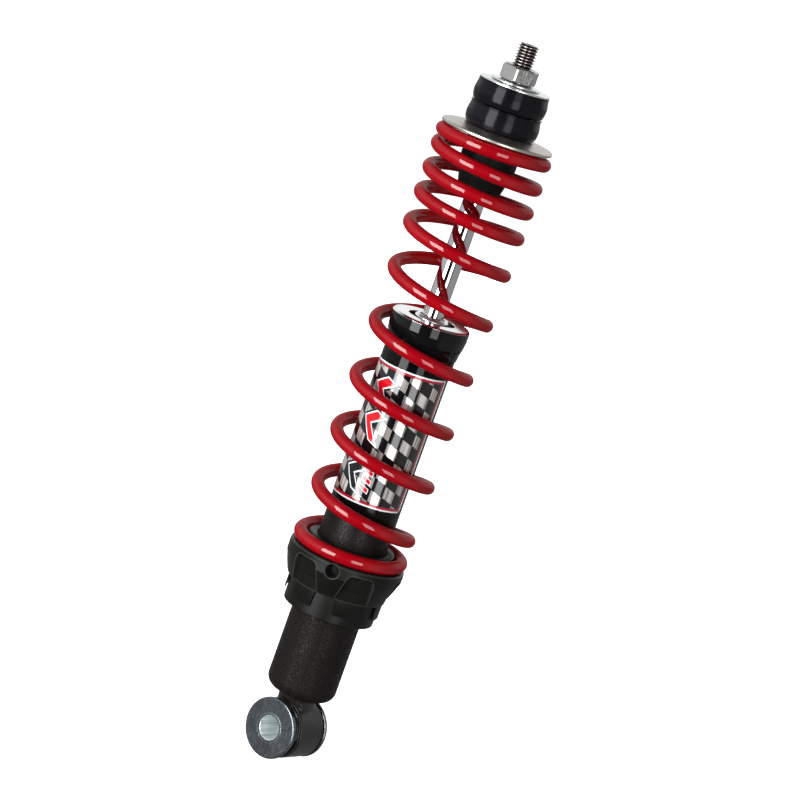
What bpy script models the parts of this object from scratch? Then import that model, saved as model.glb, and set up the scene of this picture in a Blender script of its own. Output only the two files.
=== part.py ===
"""Rear shock absorber with a coil spring, a stud mount on top and a bushed eye below.

The shock stands along +Z with the stud up. The origin is the centre of the lower eye,
and the bolt through the eye runs along Y. Lengths are in metres.
"""

import math

import bmesh
import bpy
from mathutils import Matrix, Vector

MM = 0.001
GAP = 0.3 * MM                      # clearance between neighbouring pieces
MERGE = 1e-7
SEGMENTS = 36                       # sides of a large round piece
MIDDLE_SEGMENTS = 24                # sides of the cushions, washers and eye
SMALL_SEGMENTS = 18                 # sides of a small or hidden round piece

# Lower eye: sleeve, washers and bonded rubber, all turned about Y
EYE_HALF_WIDTH = 14.0 * MM
SLEEVE_RADIUS = 7.5 * MM
SLEEVE_BORE_RADIUS = 6.2 * MM
SLEEVE_CHAMFER = 0.4 * MM
EYE_WASHER_RADIUS = 15.75 * MM
EYE_WASHER_THICKNESS = 2.0 * MM
EYE_RING_RADIUS = 15.5 * MM
EYE_RING_BORE_RADIUS = 11.5 * MM
EYE_RING_FRONT_Y = -6.9 * MM        # the ring sits a little behind the tube's centre
EYE_RING_BACK_Y = 11.0 * MM
NECK_HALF_WIDTH = 6.8 * MM
RUBBER_LIP_RADIUS = 15.2 * MM
NECK_RADIUS = 9.3 * MM
NECK_BOTTOM_Z = 12.0 * MM

# Damper tube and what runs inside it
TUBE_RADIUS = 18.0 * MM
TUBE_BORE_RADIUS = 16.3 * MM
TUBE_BOTTOM_Z = 19.4 * MM
TUBE_TOP_Z = 208.7 * MM
TUBE_FLOOR = 5.0 * MM
TUBE_CORNER_RADIUS = 6.0 * MM
CLIP_Z = 66.7 * MM
CLIP_WIRE_RADIUS = 0.7 * MM
CLIP_GROOVE_DEPTH = 0.4 * MM
FLOATING_PISTON_Z = 62.0 * MM
FLOATING_PISTON_HEIGHT = 14.0 * MM
FLOATING_PISTON_CUP_RADIUS = 10.5 * MM
RUNNING_RADIUS = TUBE_BORE_RADIUS - GAP
RING_GROOVE_DEPTH = 2.6 * MM
O_RING_RADIUS = 1.1 * MM

# Label wrapped on the tube
LABEL_BOTTOM_Z = 126.4 * MM
LABEL_TOP_Z = 197.6 * MM
LABEL_INNER_RADIUS = TUBE_RADIUS + 0.12 * MM
LABEL_THICKNESS = 0.15 * MM
LABEL_START_DEG = -202.2
LABEL_END_DEG = 12.8

# Gland that closes the tube
CAP_RADIUS = 20.2 * MM
CAP_TOP_Z = 223.4 * MM
CAP_STEP_Z = 212.8 * MM
CAP_CHAMFER = 0.9 * MM
CAP_RECESS_RADIUS = 12.1 * MM
CAP_RECESS_DEPTH = 2.0 * MM
CAP_BORE_RADIUS = 9.2 * MM
SPIGOT_RADIUS = TUBE_BORE_RADIUS - GAP
SPIGOT_BOTTOM_Z = 185.0 * MM
BUSH_POCKET_RADIUS = 8.2 * MM
GLAND_LIP_RADIUS = 6.4 * MM
GLAND_GROOVE_Z = 199.0 * MM
STAKE_COUNT = 4
STAKE_Z = 211.4 * MM
STAKE_RADIUS = 1.4 * MM
STAKE_ANGLE_DEG = 1.0

# Rod, its piston and the parts on its stud
ROD_RADIUS = 5.5 * MM
ROD_SHOULDER_Z = 318.3 * MM
ROD_PISTON_SHOULDER_Z = 170.2 * MM
ROD_TAIL_RADIUS = 4.0 * MM
ROD_TAIL_Z = 145.0 * MM
STUD_RADIUS = 5.0 * MM
STUD_TOP_Z = 366.9 * MM
THREAD_PITCH = 1.5 * MM
THREAD_DEPTH = 0.92 * MM
THREAD_START_Z = 343.9 * MM
STUD_HOLE_RADIUS = STUD_RADIUS + GAP
TAIL_HOLE_RADIUS = ROD_TAIL_RADIUS + GAP
REBOUND_STOP_RADIUS = 9.5 * MM
REBOUND_STOP_TOP_Z = 176.0 * MM
PISTON_RADIUS = 15.8 * MM
PISTON_TOP_Z = 168.6 * MM
PISTON_BOTTOM_Z = 156.6 * MM
PISTON_PORT_COUNT = 6
PISTON_PORT_RADIUS = 1.6 * MM
PISTON_PORT_CIRCLE = 11.0 * MM
BAND_BOTTOM_Z = 159.0 * MM
BAND_TOP_Z = 166.2 * MM
BAND_GROOVE_RADIUS = 14.6 * MM
SHIM_RADII = (12.6 * MM, 9.6 * MM)
SHIM_THICKNESS = 0.5 * MM
PISTON_NUT_HEIGHT = 6.5 * MM
PISTON_NUT_FLATS = 13.0 * MM
PISTON_NUT_TOP_Z = 154.8 * MM

# Stack on the stud
SEAT_RADIUS = 28.5 * MM
SEAT_RIM_Z = 318.6 * MM
SEAT_THICKNESS = 1.9 * MM
SEAT_RISE = 1.5 * MM
SEAT_FLAT_RADIUS = 25.0 * MM
SEAT_CROWN_RADIUS = 18.5 * MM
BUMP_RADIUS = 14.2 * MM
BUMP_TIP_RADIUS = 10.3 * MM
BUMP_CONE_Z = 305.8 * MM
BUMP_BOTTOM_Z = 289.5 * MM
CUSHION_RADIUS = 18.55 * MM
CUSHION_END_RADIUS = 17.6 * MM
CUSHION_SPLIT_Z = 333.8 * MM
CUSHION_TOP_Z = 344.8 * MM
CUSHION_SPIGOT_RADIUS = 10.0 * MM
CUSHION_SPIGOT_HEIGHT = 3.0 * MM
SPACER_RADIUS = 7.5 * MM
CUP_WASHER_RADIUS = 18.0 * MM
PLAIN_WASHER_RADIUS = 12.6 * MM
WASHER_THICKNESS = 1.0 * MM
NUT_FLATS = 17.0 * MM
NUT_HEIGHT = 8.0 * MM
NUT_TURN_DEG = -63.6

# Coil spring, wound left-handed and closed at both ends
WIRE_RADIUS = 3.4 * MM
COIL_RADIUS = 26.6 * MM
COIL_SIDES = 8
COIL_STEPS_PER_TURN = 18
SPRING_TOP_Z = SEAT_RIM_Z - GAP - WIRE_RADIUS
SPRING_START_DEG = -55.0
SPRING_FIRST_TURN = -0.25
CLOSED_TURNS_TOP = 0.08
LEAD_OUT_TURNS = 0.15
CLOSE_PITCH = 12.5 * MM
CLOSE_TURNS = 2.35
OPEN_PITCH = 29.0 * MM
OPENING_TURNS = 3.15
CLOSING_TURN = 9.49
CLOSED_END_TURN = 9.89
SPRING_LAST_TURN = 10.46

# Preload collar and the cam ring under it
COLLAR_SEAT_Z = 96.4 * MM
COLLAR_RADIUS = 30.0 * MM
COLLAR_CONE_Z = 89.6 * MM
COLLAR_EDGE = 1.0 * MM
COLLAR_BOTTOM_Z = 78.2 * MM
COLLAR_BOTTOM_RADIUS = 26.0 * MM
COLLAR_BORE_RADIUS = 18.4 * MM
COLLAR_SKIRT_RADIUS = 23.9 * MM
SPIGOT_GUIDE_RADIUS = 22.6 * MM
SPIGOT_GUIDE_TOP_Z = 102.8 * MM
POCKET_COUNT = 6
HOLE_COUNT = 3
HOLE_ANGLE_DEG = -63.8
HOLE_Z = 92.4 * MM
HOLE_RADIUS = 3.4 * MM
HOLE_DEPTH = 6.0 * MM
POCKET_ANGLE_DEG = HOLE_ANGLE_DEG + 30.0
TAB_BOTTOM_Z = 70.0 * MM
TAB_INNER_RADIUS = 24.1 * MM
TAB_OUTER_RADIUS = 25.0 * MM
TAB_HALF_DEG = 17.0
CAM_LOBES = 3
CAM_RISE = 10.0 * MM
CAM_BASE_Z = 78.4 * MM
CAM_GAP_DEG = 0.7
CAM_PHASE_DEG = -16.2
CAM_RADIUS = 23.3 * MM
CAM_RING_RADIUS = 23.6 * MM
CAM_RING_BORE_RADIUS = TUBE_RADIUS + GAP
CAM_RING_BOTTOM_Z = 65.1 * MM

COLOURS = {
    "zinc": ((0.42, 0.43, 0.46), 0.35, 1.0),
    "eye_rubber": ((0.02, 0.02, 0.02), 0.35, 0.0),
    "black_coat": ((0.028, 0.025, 0.023), 0.5, 0.2),
    "label_film": ((0.6, 0.6, 0.62), 0.25, 0.8),
    "black_anodised": ((0.02, 0.02, 0.022), 0.35, 0.4),
    "chrome": ((0.75, 0.75, 0.76), 0.06, 1.0),
    "bright_steel": ((0.6, 0.6, 0.6), 0.3, 1.0),
    "satin_plate": ((0.62, 0.61, 0.58), 0.3, 1.0),
    "red_coat": ((0.62, 0.004, 0.01), 0.2, 0.0),
    "black_rubber": ((0.02, 0.02, 0.022), 0.4, 0.0),
    "bronze": ((0.5, 0.33, 0.16), 0.35, 1.0),
    "aluminium": ((0.7, 0.7, 0.72), 0.35, 1.0),
    "glide_band": ((0.05, 0.04, 0.03), 0.5, 0.0),
    "collar_black": ((0.03, 0.03, 0.029), 0.42, 0.1),
}


def clear_scene():
    for scene_object in list(bpy.data.objects):
        bpy.data.objects.remove(scene_object, do_unlink=True)


def material(name):
    """Principled material of the given entry in COLOURS, made once."""
    existing = bpy.data.materials.get(name)
    if existing:
        return existing
    colour, roughness, metallic = COLOURS[name]
    made = bpy.data.materials.new(name)
    made.use_nodes = True
    shader = made.node_tree.nodes["Principled BSDF"]
    shader.inputs["Base Color"].default_value = (*colour, 1.0)
    shader.inputs["Roughness"].default_value = roughness
    shader.inputs["Metallic"].default_value = metallic
    made.diffuse_color = (*colour, 1.0)
    return made


def add_object(name, bm, finish, smooth=True):
    """Turn a bmesh into a named object with outward faces and its material."""
    bmesh.ops.remove_doubles(bm, verts=bm.verts, dist=MERGE)
    bmesh.ops.recalc_face_normals(bm, faces=bm.faces)
    mesh = bpy.data.meshes.new(name)
    bm.to_mesh(mesh)
    bm.free()
    made = bpy.data.objects.new(name, mesh)
    bpy.context.scene.collection.objects.link(made)
    if finish:
        mesh.materials.append(material(finish))
    if smooth:
        mesh.shade_smooth()
        mesh.set_sharp_from_angle(angle=math.radians(35.0))
    return made


def parent_to(children, pivot):
    for child in children:
        child.parent = pivot


def add_pivot(name, location):
    """Empty on a joint axis. The pieces that move with it are its children."""
    pivot = bpy.data.objects.new(name, None)
    pivot.location = location
    pivot.empty_display_size = 10 * MM
    bpy.context.scene.collection.objects.link(pivot)
    return pivot


def spin_profile(bm, profile, segments):
    """Spin a closed (radius, height) outline, or one that ends on the axis, about Z."""
    corners = [bm.verts.new((radius, 0.0, height)) for radius, height in profile]
    edges = [bm.edges.new(pair) for pair in zip(corners, corners[1:])]
    if profile[0][0] > 0.0 or profile[-1][0] > 0.0:
        edges.append(bm.edges.new((corners[-1], corners[0])))
    bmesh.ops.spin(
        bm,
        geom=corners + edges,
        cent=(0.0, 0.0, 0.0),
        axis=(0.0, 0.0, 1.0),
        angle=math.tau,
        steps=segments,
        use_merge=True,
    )
    bmesh.ops.remove_doubles(bm, verts=bm.verts, dist=MERGE)


def turned(name, profile, finish, segments=SEGMENTS, along_y=False):
    """Round piece turned about Z, or about Y for the parts of the eye."""
    bm = bmesh.new()
    spin_profile(bm, profile, segments)
    if along_y:
        bmesh.ops.rotate(bm, verts=bm.verts, matrix=Matrix.Rotation(-math.pi / 2, 3, "X"))
    return add_object(name, bm, finish)


def tube_profile(inner, outer, low, high, chamfer=0.0):
    """Outline of a plain ring, with both outer edges chamfered when asked."""
    if not chamfer:
        return [(inner, low), (outer, low), (outer, high), (inner, high)]
    return [
        (inner, low),
        (outer - chamfer, low),
        (outer, low + chamfer),
        (outer, high - chamfer),
        (outer - chamfer, high),
        (inner, high),
    ]


def arc(centre, radius, start_deg, end_deg, steps):
    """Points of an arc in the (radius, height) plane."""
    points = []
    for step in range(steps + 1):
        angle = math.radians(start_deg + (end_deg - start_deg) * step / steps)
        points.append((centre[0] + radius * math.cos(angle), centre[1] + radius * math.sin(angle)))
    return points


def polar(radius, angle, height):
    return Vector((radius * math.cos(angle), radius * math.sin(angle), height))


def loft(bm, loops, closed=False):
    """Skin between equal loops of points. An open loft is capped at both ends."""
    rings = [[bm.verts.new(point) for point in loop] for loop in loops]
    pairs = list(zip(rings, rings[1:]))
    if closed:
        pairs.append((rings[-1], rings[0]))
    for ring, following in pairs:
        count = len(ring)
        for index in range(count):
            after = (index + 1) % count
            bm.faces.new((ring[index], ring[after], following[after], following[index]))
    if not closed:
        for ring in (rings[0], rings[-1]):
            half = len(ring) // 2
            for index in range(half - 1):
                mirror = len(ring) - 1 - index
                bm.faces.new((ring[index], ring[index + 1], ring[mirror - 1], ring[mirror]))


def sector(bm, start_deg, end_deg, steps, outline):
    """Loft an outline of (radius, height) points round Z. outline is called with the angle."""
    loops = []
    for step in range(steps + 1):
        degrees = start_deg + (end_deg - start_deg) * step / steps
        angle = math.radians(degrees)
        loops.append([polar(radius, angle, height) for radius, height in outline(degrees)])
    loft(bm, loops)


def tapered_sector(bm, middle_deg, levels, inner_radii, outer_radius, steps):
    """Sector whose half-angle and inner radius change with height, level by level."""
    loops = []
    for step in range(steps + 1):
        share = 2.0 * step / steps - 1.0
        loop = []
        for (height, half_deg), inner in zip(levels, inner_radii):
            loop.append(polar(inner, math.radians(middle_deg + share * half_deg), height))
        for height, half_deg in reversed(levels):
            loop.append(polar(outer_radius, math.radians(middle_deg + share * half_deg), height))
        loops.append(loop)
    loft(bm, loops)


def radial_cylinder(bm, radius, inner, outer, angle_deg, height, segments=12):
    """Cylinder that points away from Z, from the inner radius to the outer one."""
    turn = Matrix.Rotation(math.radians(angle_deg), 4, "Z")
    lay = Matrix.Rotation(math.pi / 2, 4, "Y")
    place = Matrix.Translation((0.5 * (inner + outer), 0.0, height))
    bmesh.ops.create_cone(
        bm,
        cap_ends=True,
        segments=segments,
        radius1=radius,
        radius2=radius,
        depth=outer - inner,
        matrix=turn @ place @ lay,
    )


def boolean(target, tool, operation):
    """Cut or join with a helper that stays out of the model."""
    tool.hide_render = True
    tool.display_type = "WIRE"
    modifier = target.modifiers.new(operation.title(), "BOOLEAN")
    modifier.operation = operation
    modifier.solver = "EXACT"
    modifier.object = tool


def spaced_around(start_deg, count):
    return [start_deg + 360.0 * index / count for index in range(count)]


# Lower eye


def eye_sleeve():
    profile = [
        (SLEEVE_BORE_RADIUS, -EYE_HALF_WIDTH + SLEEVE_CHAMFER),
        (SLEEVE_BORE_RADIUS + SLEEVE_CHAMFER, -EYE_HALF_WIDTH),
        (SLEEVE_RADIUS, -EYE_HALF_WIDTH),
        (SLEEVE_RADIUS, EYE_HALF_WIDTH),
        (SLEEVE_BORE_RADIUS + SLEEVE_CHAMFER, EYE_HALF_WIDTH),
        (SLEEVE_BORE_RADIUS, EYE_HALF_WIDTH - SLEEVE_CHAMFER),
    ]
    return turned("eye_sleeve", profile, "zinc", MIDDLE_SEGMENTS, along_y=True)


def eye_washer(name, side):
    low = EYE_HALF_WIDTH - EYE_WASHER_THICKNESS
    outline = tube_profile(SLEEVE_RADIUS + GAP, EYE_WASHER_RADIUS, low, EYE_HALF_WIDTH, 0.3 * MM)
    profile = [(radius, side * along) for radius, along in outline]
    return turned(name, profile, "zinc", MIDDLE_SEGMENTS, along_y=True)


def eye_rubber():
    inner = SLEEVE_RADIUS + GAP
    outer = EYE_RING_BORE_RADIUS - GAP
    front_lip = EYE_RING_FRONT_Y - GAP
    back_lip = EYE_RING_BACK_Y + GAP
    end = EYE_HALF_WIDTH - EYE_WASHER_THICKNESS - GAP
    edge = 0.8 * MM
    profile = [
        (inner, -end),
        (RUBBER_LIP_RADIUS - edge, -end),
        (RUBBER_LIP_RADIUS, -end + edge),
        (RUBBER_LIP_RADIUS, front_lip - edge),
        (RUBBER_LIP_RADIUS - edge, front_lip),
        (outer, front_lip),
        (outer, back_lip),
        (RUBBER_LIP_RADIUS - edge, back_lip),
        (RUBBER_LIP_RADIUS - edge, end),
        (inner, end),
    ]
    return turned("eye_rubber", profile, "eye_rubber", MIDDLE_SEGMENTS, along_y=True)


def eye_ring():
    """Forged ring with the short neck that carries the tube."""
    outline = tube_profile(
        EYE_RING_BORE_RADIUS, EYE_RING_RADIUS, EYE_RING_FRONT_Y, EYE_RING_BACK_Y, 0.6 * MM
    )
    ring = turned("eye_ring", outline, "black_coat", MIDDLE_SEGMENTS, along_y=True)
    side = math.degrees(math.asin(NECK_HALF_WIDTH / NECK_RADIUS))
    bm = bmesh.new()
    ends = arc((0.0, 0.0), NECK_RADIUS, -side, side, 6) + arc((0.0, 0.0), NECK_RADIUS, 180 - side, 180 + side, 6)
    heights = (NECK_BOTTOM_Z, TUBE_BOTTOM_Z - GAP)
    rings = [[bm.verts.new((x, y, height)) for x, y in ends] for height in heights]
    for index in range(len(ends)):
        after = (index + 1) % len(ends)
        bm.faces.new((rings[0][index], rings[0][after], rings[1][after], rings[1][index]))
    bm.faces.new(rings[0])
    bm.faces.new(rings[1])
    neck = add_object("neck_tool", bm, None, smooth=False)
    boolean(ring, neck, "UNION")
    return ring


# Damper


def damper_tube():
    outer_corner = (TUBE_RADIUS - TUBE_CORNER_RADIUS, TUBE_BOTTOM_Z + TUBE_CORNER_RADIUS)
    inner_corner_radius = 3.0 * MM
    floor = TUBE_BOTTOM_Z + TUBE_FLOOR
    inner_corner = (TUBE_BORE_RADIUS - inner_corner_radius, floor + inner_corner_radius)
    groove = (CLIP_Z - 1.4 * CLIP_WIRE_RADIUS, CLIP_Z + 1.4 * CLIP_WIRE_RADIUS)
    profile = [(0.0, TUBE_BOTTOM_Z)]
    profile += arc(outer_corner, TUBE_CORNER_RADIUS, -90, 0, 4)
    profile += [
        (TUBE_RADIUS, groove[0]),
        (TUBE_RADIUS - CLIP_GROOVE_DEPTH, groove[0]),
        (TUBE_RADIUS - CLIP_GROOVE_DEPTH, groove[1]),
        (TUBE_RADIUS, groove[1]),
        (TUBE_RADIUS, TUBE_TOP_Z),
        (TUBE_BORE_RADIUS, TUBE_TOP_Z),
    ]
    profile += arc(inner_corner, inner_corner_radius, 0, -90, 2)
    profile.append((0.0, floor))
    return turned("damper_tube", profile, "black_coat")


def label():
    inner = LABEL_INNER_RADIUS
    outer = inner + LABEL_THICKNESS
    step_deg = 360.0 / SEGMENTS
    start = round(LABEL_START_DEG / step_deg) * step_deg
    steps = round((LABEL_END_DEG - start) / step_deg)
    bm = bmesh.new()
    sector(
        bm,
        start,
        start + steps * step_deg,
        steps,
        lambda degrees: tube_profile(inner, outer, LABEL_BOTTOM_Z, LABEL_TOP_Z),
    )
    return add_object("label", bm, "label_film")


def gland_cap():
    recess_floor = CAP_TOP_Z - CAP_RECESS_DEPTH
    bush_top = 206.0 * MM
    bush_bottom = 187.0 * MM
    groove_half = O_RING_RADIUS + GAP
    groove_radius = SPIGOT_RADIUS - RING_GROOVE_DEPTH
    profile = [
        (GLAND_LIP_RADIUS, SPIGOT_BOTTOM_Z),
        (SPIGOT_RADIUS, SPIGOT_BOTTOM_Z),
        (SPIGOT_RADIUS, GLAND_GROOVE_Z - groove_half),
        (groove_radius, GLAND_GROOVE_Z - groove_half),
        (groove_radius, GLAND_GROOVE_Z + groove_half),
        (SPIGOT_RADIUS, GLAND_GROOVE_Z + groove_half),
        (SPIGOT_RADIUS, TUBE_TOP_Z + GAP),
        (TUBE_RADIUS + GAP, TUBE_TOP_Z + GAP),
        (CAP_RADIUS, CAP_STEP_Z),
        (CAP_RADIUS, CAP_TOP_Z - CAP_CHAMFER),
        (CAP_RADIUS - CAP_CHAMFER, CAP_TOP_Z),
        (CAP_RECESS_RADIUS, CAP_TOP_Z),
        (CAP_RECESS_RADIUS, recess_floor),
        (CAP_BORE_RADIUS, recess_floor),
        (CAP_BORE_RADIUS, bush_top),
        (BUSH_POCKET_RADIUS, bush_top),
        (BUSH_POCKET_RADIUS, bush_bottom),
        (GLAND_LIP_RADIUS, bush_bottom),
    ]
    cap = turned("gland_cap", profile, "black_anodised")
    bm = bmesh.new()
    for angle in spaced_around(STAKE_ANGLE_DEG, STAKE_COUNT):
        radial_cylinder(bm, STAKE_RADIUS, CAP_RADIUS - 1.6 * MM, CAP_RADIUS + 3 * MM, angle, STAKE_Z, 8)
    stakes = add_object("stake_tool", bm, None, smooth=False)
    boolean(cap, stakes, "DIFFERENCE")
    return cap


def rod_wiper():
    """Metal-cased wiper pressed into the gland, its domed case standing proud."""
    outer = CAP_BORE_RADIUS - GAP
    inner = ROD_RADIUS + GAP
    profile = [
        (inner, 217.0 * MM),
        (outer, 217.0 * MM),
        (outer, 223.2 * MM),
        (outer - 1.0 * MM, 224.4 * MM),
        (inner + 0.6 * MM, 224.9 * MM),
        (inner, 224.5 * MM),
    ]
    return turned("rod_wiper", profile, "bright_steel", MIDDLE_SEGMENTS)


def gland_rings():
    """Oil seal, its backing ring and the bush that the rod slides in."""
    inner = ROD_RADIUS + GAP
    outer = CAP_BORE_RADIUS - GAP
    seal = turned("oil_seal", tube_profile(inner, outer, 209.5 * MM, 216.7 * MM, 0.4 * MM), "black_rubber", SMALL_SEGMENTS)
    backing = turned("seal_backing_ring", tube_profile(inner, outer, 206.3 * MM, 209.2 * MM), "aluminium", SMALL_SEGMENTS)
    bush_outer = BUSH_POCKET_RADIUS - GAP
    bush = turned("rod_bush", tube_profile(inner, bush_outer, 187.3 * MM, 205.7 * MM), "bronze", SMALL_SEGMENTS)
    return [seal, backing, bush]


def o_ring(name, height):
    """Rubber ring that sits in a groove and just clears the tube's bore."""
    centre = (RUNNING_RADIUS - O_RING_RADIUS, height)
    circle = arc(centre, O_RING_RADIUS, 0, 360, 6)[:-1]
    return turned(name, circle, "black_rubber", MIDDLE_SEGMENTS)


def floating_piston():
    low = FLOATING_PISTON_Z
    high = low + FLOATING_PISTON_HEIGHT
    middle = 0.5 * (low + high)
    groove_half = O_RING_RADIUS + GAP
    groove_radius = RUNNING_RADIUS - RING_GROOVE_DEPTH
    profile = [
        (0.0, low + 8 * MM),
        (FLOATING_PISTON_CUP_RADIUS, low + 8 * MM),
        (FLOATING_PISTON_CUP_RADIUS, low),
        (RUNNING_RADIUS, low),
        (RUNNING_RADIUS, middle - groove_half),
        (groove_radius, middle - groove_half),
        (groove_radius, middle + groove_half),
        (RUNNING_RADIUS, middle + groove_half),
        (RUNNING_RADIUS, high),
        (0.0, high),
    ]
    piston = turned("floating_piston", profile, "aluminium", MIDDLE_SEGMENTS)
    return [piston, o_ring("floating_piston_seal", middle)]


# Rod and piston


def thread_rows(start, end):
    """Heights and radii of a thread's flanks down one side, for each crest and root."""
    rows = []
    turns = int((end - start) / THREAD_PITCH)
    for turn in range(turns):
        base = start + turn * THREAD_PITCH
        rows.append((base, STUD_RADIUS - THREAD_DEPTH))
        rows.append((base + 0.44 * THREAD_PITCH, STUD_RADIUS))
        rows.append((base + 0.56 * THREAD_PITCH, STUD_RADIUS))
    rows.append((start + turns * THREAD_PITCH, STUD_RADIUS - THREAD_DEPTH))
    return rows


def piston_rod():
    """Rod with a plain tail for the piston and a right-hand threaded stud."""
    sides = 12
    edge = 0.5 * MM
    root = STUD_RADIUS - THREAD_DEPTH
    plain = [
        (ROD_TAIL_Z, ROD_TAIL_RADIUS - edge),
        (ROD_TAIL_Z + edge, ROD_TAIL_RADIUS),
        (ROD_PISTON_SHOULDER_Z, ROD_TAIL_RADIUS),
        (ROD_PISTON_SHOULDER_Z, ROD_RADIUS),
        (ROD_SHOULDER_Z - edge, ROD_RADIUS),
        (ROD_SHOULDER_Z, ROD_RADIUS - edge),
        (ROD_SHOULDER_Z, STUD_RADIUS),
        (THREAD_START_Z - 2.5 * MM, STUD_RADIUS),
        (THREAD_START_Z - 1.6 * MM, root),
    ]
    rows = thread_rows(THREAD_START_Z, STUD_TOP_Z - 1.9 * MM)
    loops = []
    for height, radius in plain:
        loops.append([polar(radius, math.tau * side / sides, height) for side in range(sides)])
    for height, radius in rows:
        loop = []
        for side in range(sides):
            share = side / sides
            loop.append(polar(radius, math.tau * share, height + share * THREAD_PITCH))
        loops.append(loop)
    loops.append([polar(root - 0.3 * MM, math.tau * side / sides, STUD_TOP_Z) for side in range(sides)])
    bm = bmesh.new()
    rings = [[bm.verts.new(point) for point in loop] for loop in loops]
    first_thread = len(plain)
    last_thread = first_thread + len(rows) - 1
    per_turn = 3
    for level in range(len(rings) - 1):
        threaded = first_thread <= level < last_thread
        for side in range(sides - 1):
            quad = (rings[level][side], rings[level][side + 1], rings[level + 1][side + 1], rings[level + 1][side])
            bm.faces.new(quad)
        if not threaded:
            continue
        if level + per_turn < last_thread:
            quad = (rings[level][-1], rings[level + per_turn][0], rings[level + per_turn + 1][0], rings[level + 1][-1])
            bm.faces.new(quad)
    close_thread_ends(bm, rings, first_thread, last_thread, per_turn)
    bm.faces.new(list(reversed(rings[0])))
    bm.faces.new(rings[-1])
    return add_object("piston_rod", bm, "chrome")


def close_thread_ends(bm, rings, first, last, per_turn):
    """Close the seam below the first thread turn, above the last one and on the plain shank."""
    for level in range(first - 1):
        bm.faces.new((rings[level][-1], rings[level][0], rings[level + 1][0], rings[level + 1][-1]))
    run_in = [rings[first - 1][-1], rings[first - 1][0]]
    run_in += [rings[first + step][0] for step in range(per_turn + 1)]
    run_in.append(rings[first][-1])
    bm.faces.new(run_in)
    run_out = [rings[last + 1][0], rings[last + 1][-1]]
    run_out += [rings[last - step][-1] for step in range(per_turn + 1)]
    run_out.append(rings[last][0])
    bm.faces.new(run_out)


def rebound_stop():
    inner = ROD_RADIUS + GAP
    outline = tube_profile(inner, REBOUND_STOP_RADIUS, ROD_PISTON_SHOULDER_Z + GAP, REBOUND_STOP_TOP_Z)
    return turned("rebound_stop", outline, "aluminium", SMALL_SEGMENTS)


def piston():
    profile = [
        (TAIL_HOLE_RADIUS, PISTON_BOTTOM_Z),
        (PISTON_RADIUS, PISTON_BOTTOM_Z),
        (PISTON_RADIUS, BAND_BOTTOM_Z),
        (BAND_GROOVE_RADIUS, BAND_BOTTOM_Z),
        (BAND_GROOVE_RADIUS, BAND_TOP_Z),
        (PISTON_RADIUS, BAND_TOP_Z),
        (PISTON_RADIUS, PISTON_TOP_Z),
        (TAIL_HOLE_RADIUS, PISTON_TOP_Z),
    ]
    made = turned("piston", profile, "aluminium", MIDDLE_SEGMENTS)
    bm = bmesh.new()
    for angle in spaced_around(0.0, PISTON_PORT_COUNT):
        centre = polar(PISTON_PORT_CIRCLE, math.radians(angle), 0.5 * (PISTON_TOP_Z + PISTON_BOTTOM_Z))
        bmesh.ops.create_cone(
            bm,
            cap_ends=True,
            segments=6,
            radius1=PISTON_PORT_RADIUS,
            radius2=PISTON_PORT_RADIUS,
            depth=PISTON_TOP_Z - PISTON_BOTTOM_Z + 4 * MM,
            matrix=Matrix.Translation(centre),
        )
    ports = add_object("port_tool", bm, None, smooth=False)
    boolean(made, ports, "DIFFERENCE")
    return made


def piston_band():
    inner = BAND_GROOVE_RADIUS + GAP
    outline = tube_profile(inner, RUNNING_RADIUS, BAND_BOTTOM_Z + GAP, BAND_TOP_Z - GAP)
    return turned("piston_band", outline, "glide_band", MIDDLE_SEGMENTS)


def shim_stack(name, start, direction):
    """Thin plates, the widest against the piston, as one stepped solid."""
    profile = [(TAIL_HOLE_RADIUS, start)]
    for index, radius in enumerate(SHIM_RADII):
        profile.append((radius, start + direction * index * SHIM_THICKNESS))
        profile.append((radius, start + direction * (index + 1) * SHIM_THICKNESS))
    profile.append((TAIL_HOLE_RADIUS, start + direction * len(SHIM_RADII) * SHIM_THICKNESS))
    return turned(name, profile, "bright_steel", SMALL_SEGMENTS)


def hex_nut(name, flats, height, top, bore, turn_deg, finish):
    """Hexagon with both ends chamfered by a turned blank."""
    corner = flats / math.sqrt(3.0)
    bottom = top - height
    bm = bmesh.new()
    bmesh.ops.create_cone(
        bm,
        cap_ends=True,
        segments=6,
        radius1=corner,
        radius2=corner,
        depth=height,
        matrix=Matrix.Translation((0.0, 0.0, bottom + 0.5 * height)) @ Matrix.Rotation(math.radians(turn_deg), 4, "Z"),
    )
    nut = add_object(name, bm, finish)
    fall = (corner - 0.5 * flats) * math.tan(math.radians(30.0)) + 0.25 * MM
    over = 1 * MM
    reach = over / math.tan(math.radians(30.0))
    edge = corner - fall / math.tan(math.radians(30.0))
    blank = [
        (bore, bottom - over),
        (edge - reach, bottom - over),
        (corner, bottom + fall),
        (corner + over, bottom + fall),
        (corner + over, top - fall),
        (corner, top - fall),
        (edge - reach, top + over),
        (bore, top + over),
    ]
    tool = turned(name + "_tool", blank, None, 24)
    boolean(nut, tool, "INTERSECT")
    return nut


# Stack on the stud


def spring_seat():
    low = SEAT_RIM_Z
    top = low + SEAT_THICKNESS
    edge = 0.5 * MM
    profile = [
        (STUD_HOLE_RADIUS, low + SEAT_RISE),
        (SEAT_CROWN_RADIUS, low + SEAT_RISE),
        (SEAT_FLAT_RADIUS, low),
        (SEAT_RADIUS - edge, low),
        (SEAT_RADIUS, low + edge),
        (SEAT_RADIUS, top - edge),
        (SEAT_RADIUS - edge, top),
        (SEAT_FLAT_RADIUS, top),
        (SEAT_CROWN_RADIUS, top + SEAT_RISE),
        (STUD_HOLE_RADIUS, top + SEAT_RISE),
    ]
    return turned("spring_seat", profile, "satin_plate")


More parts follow.
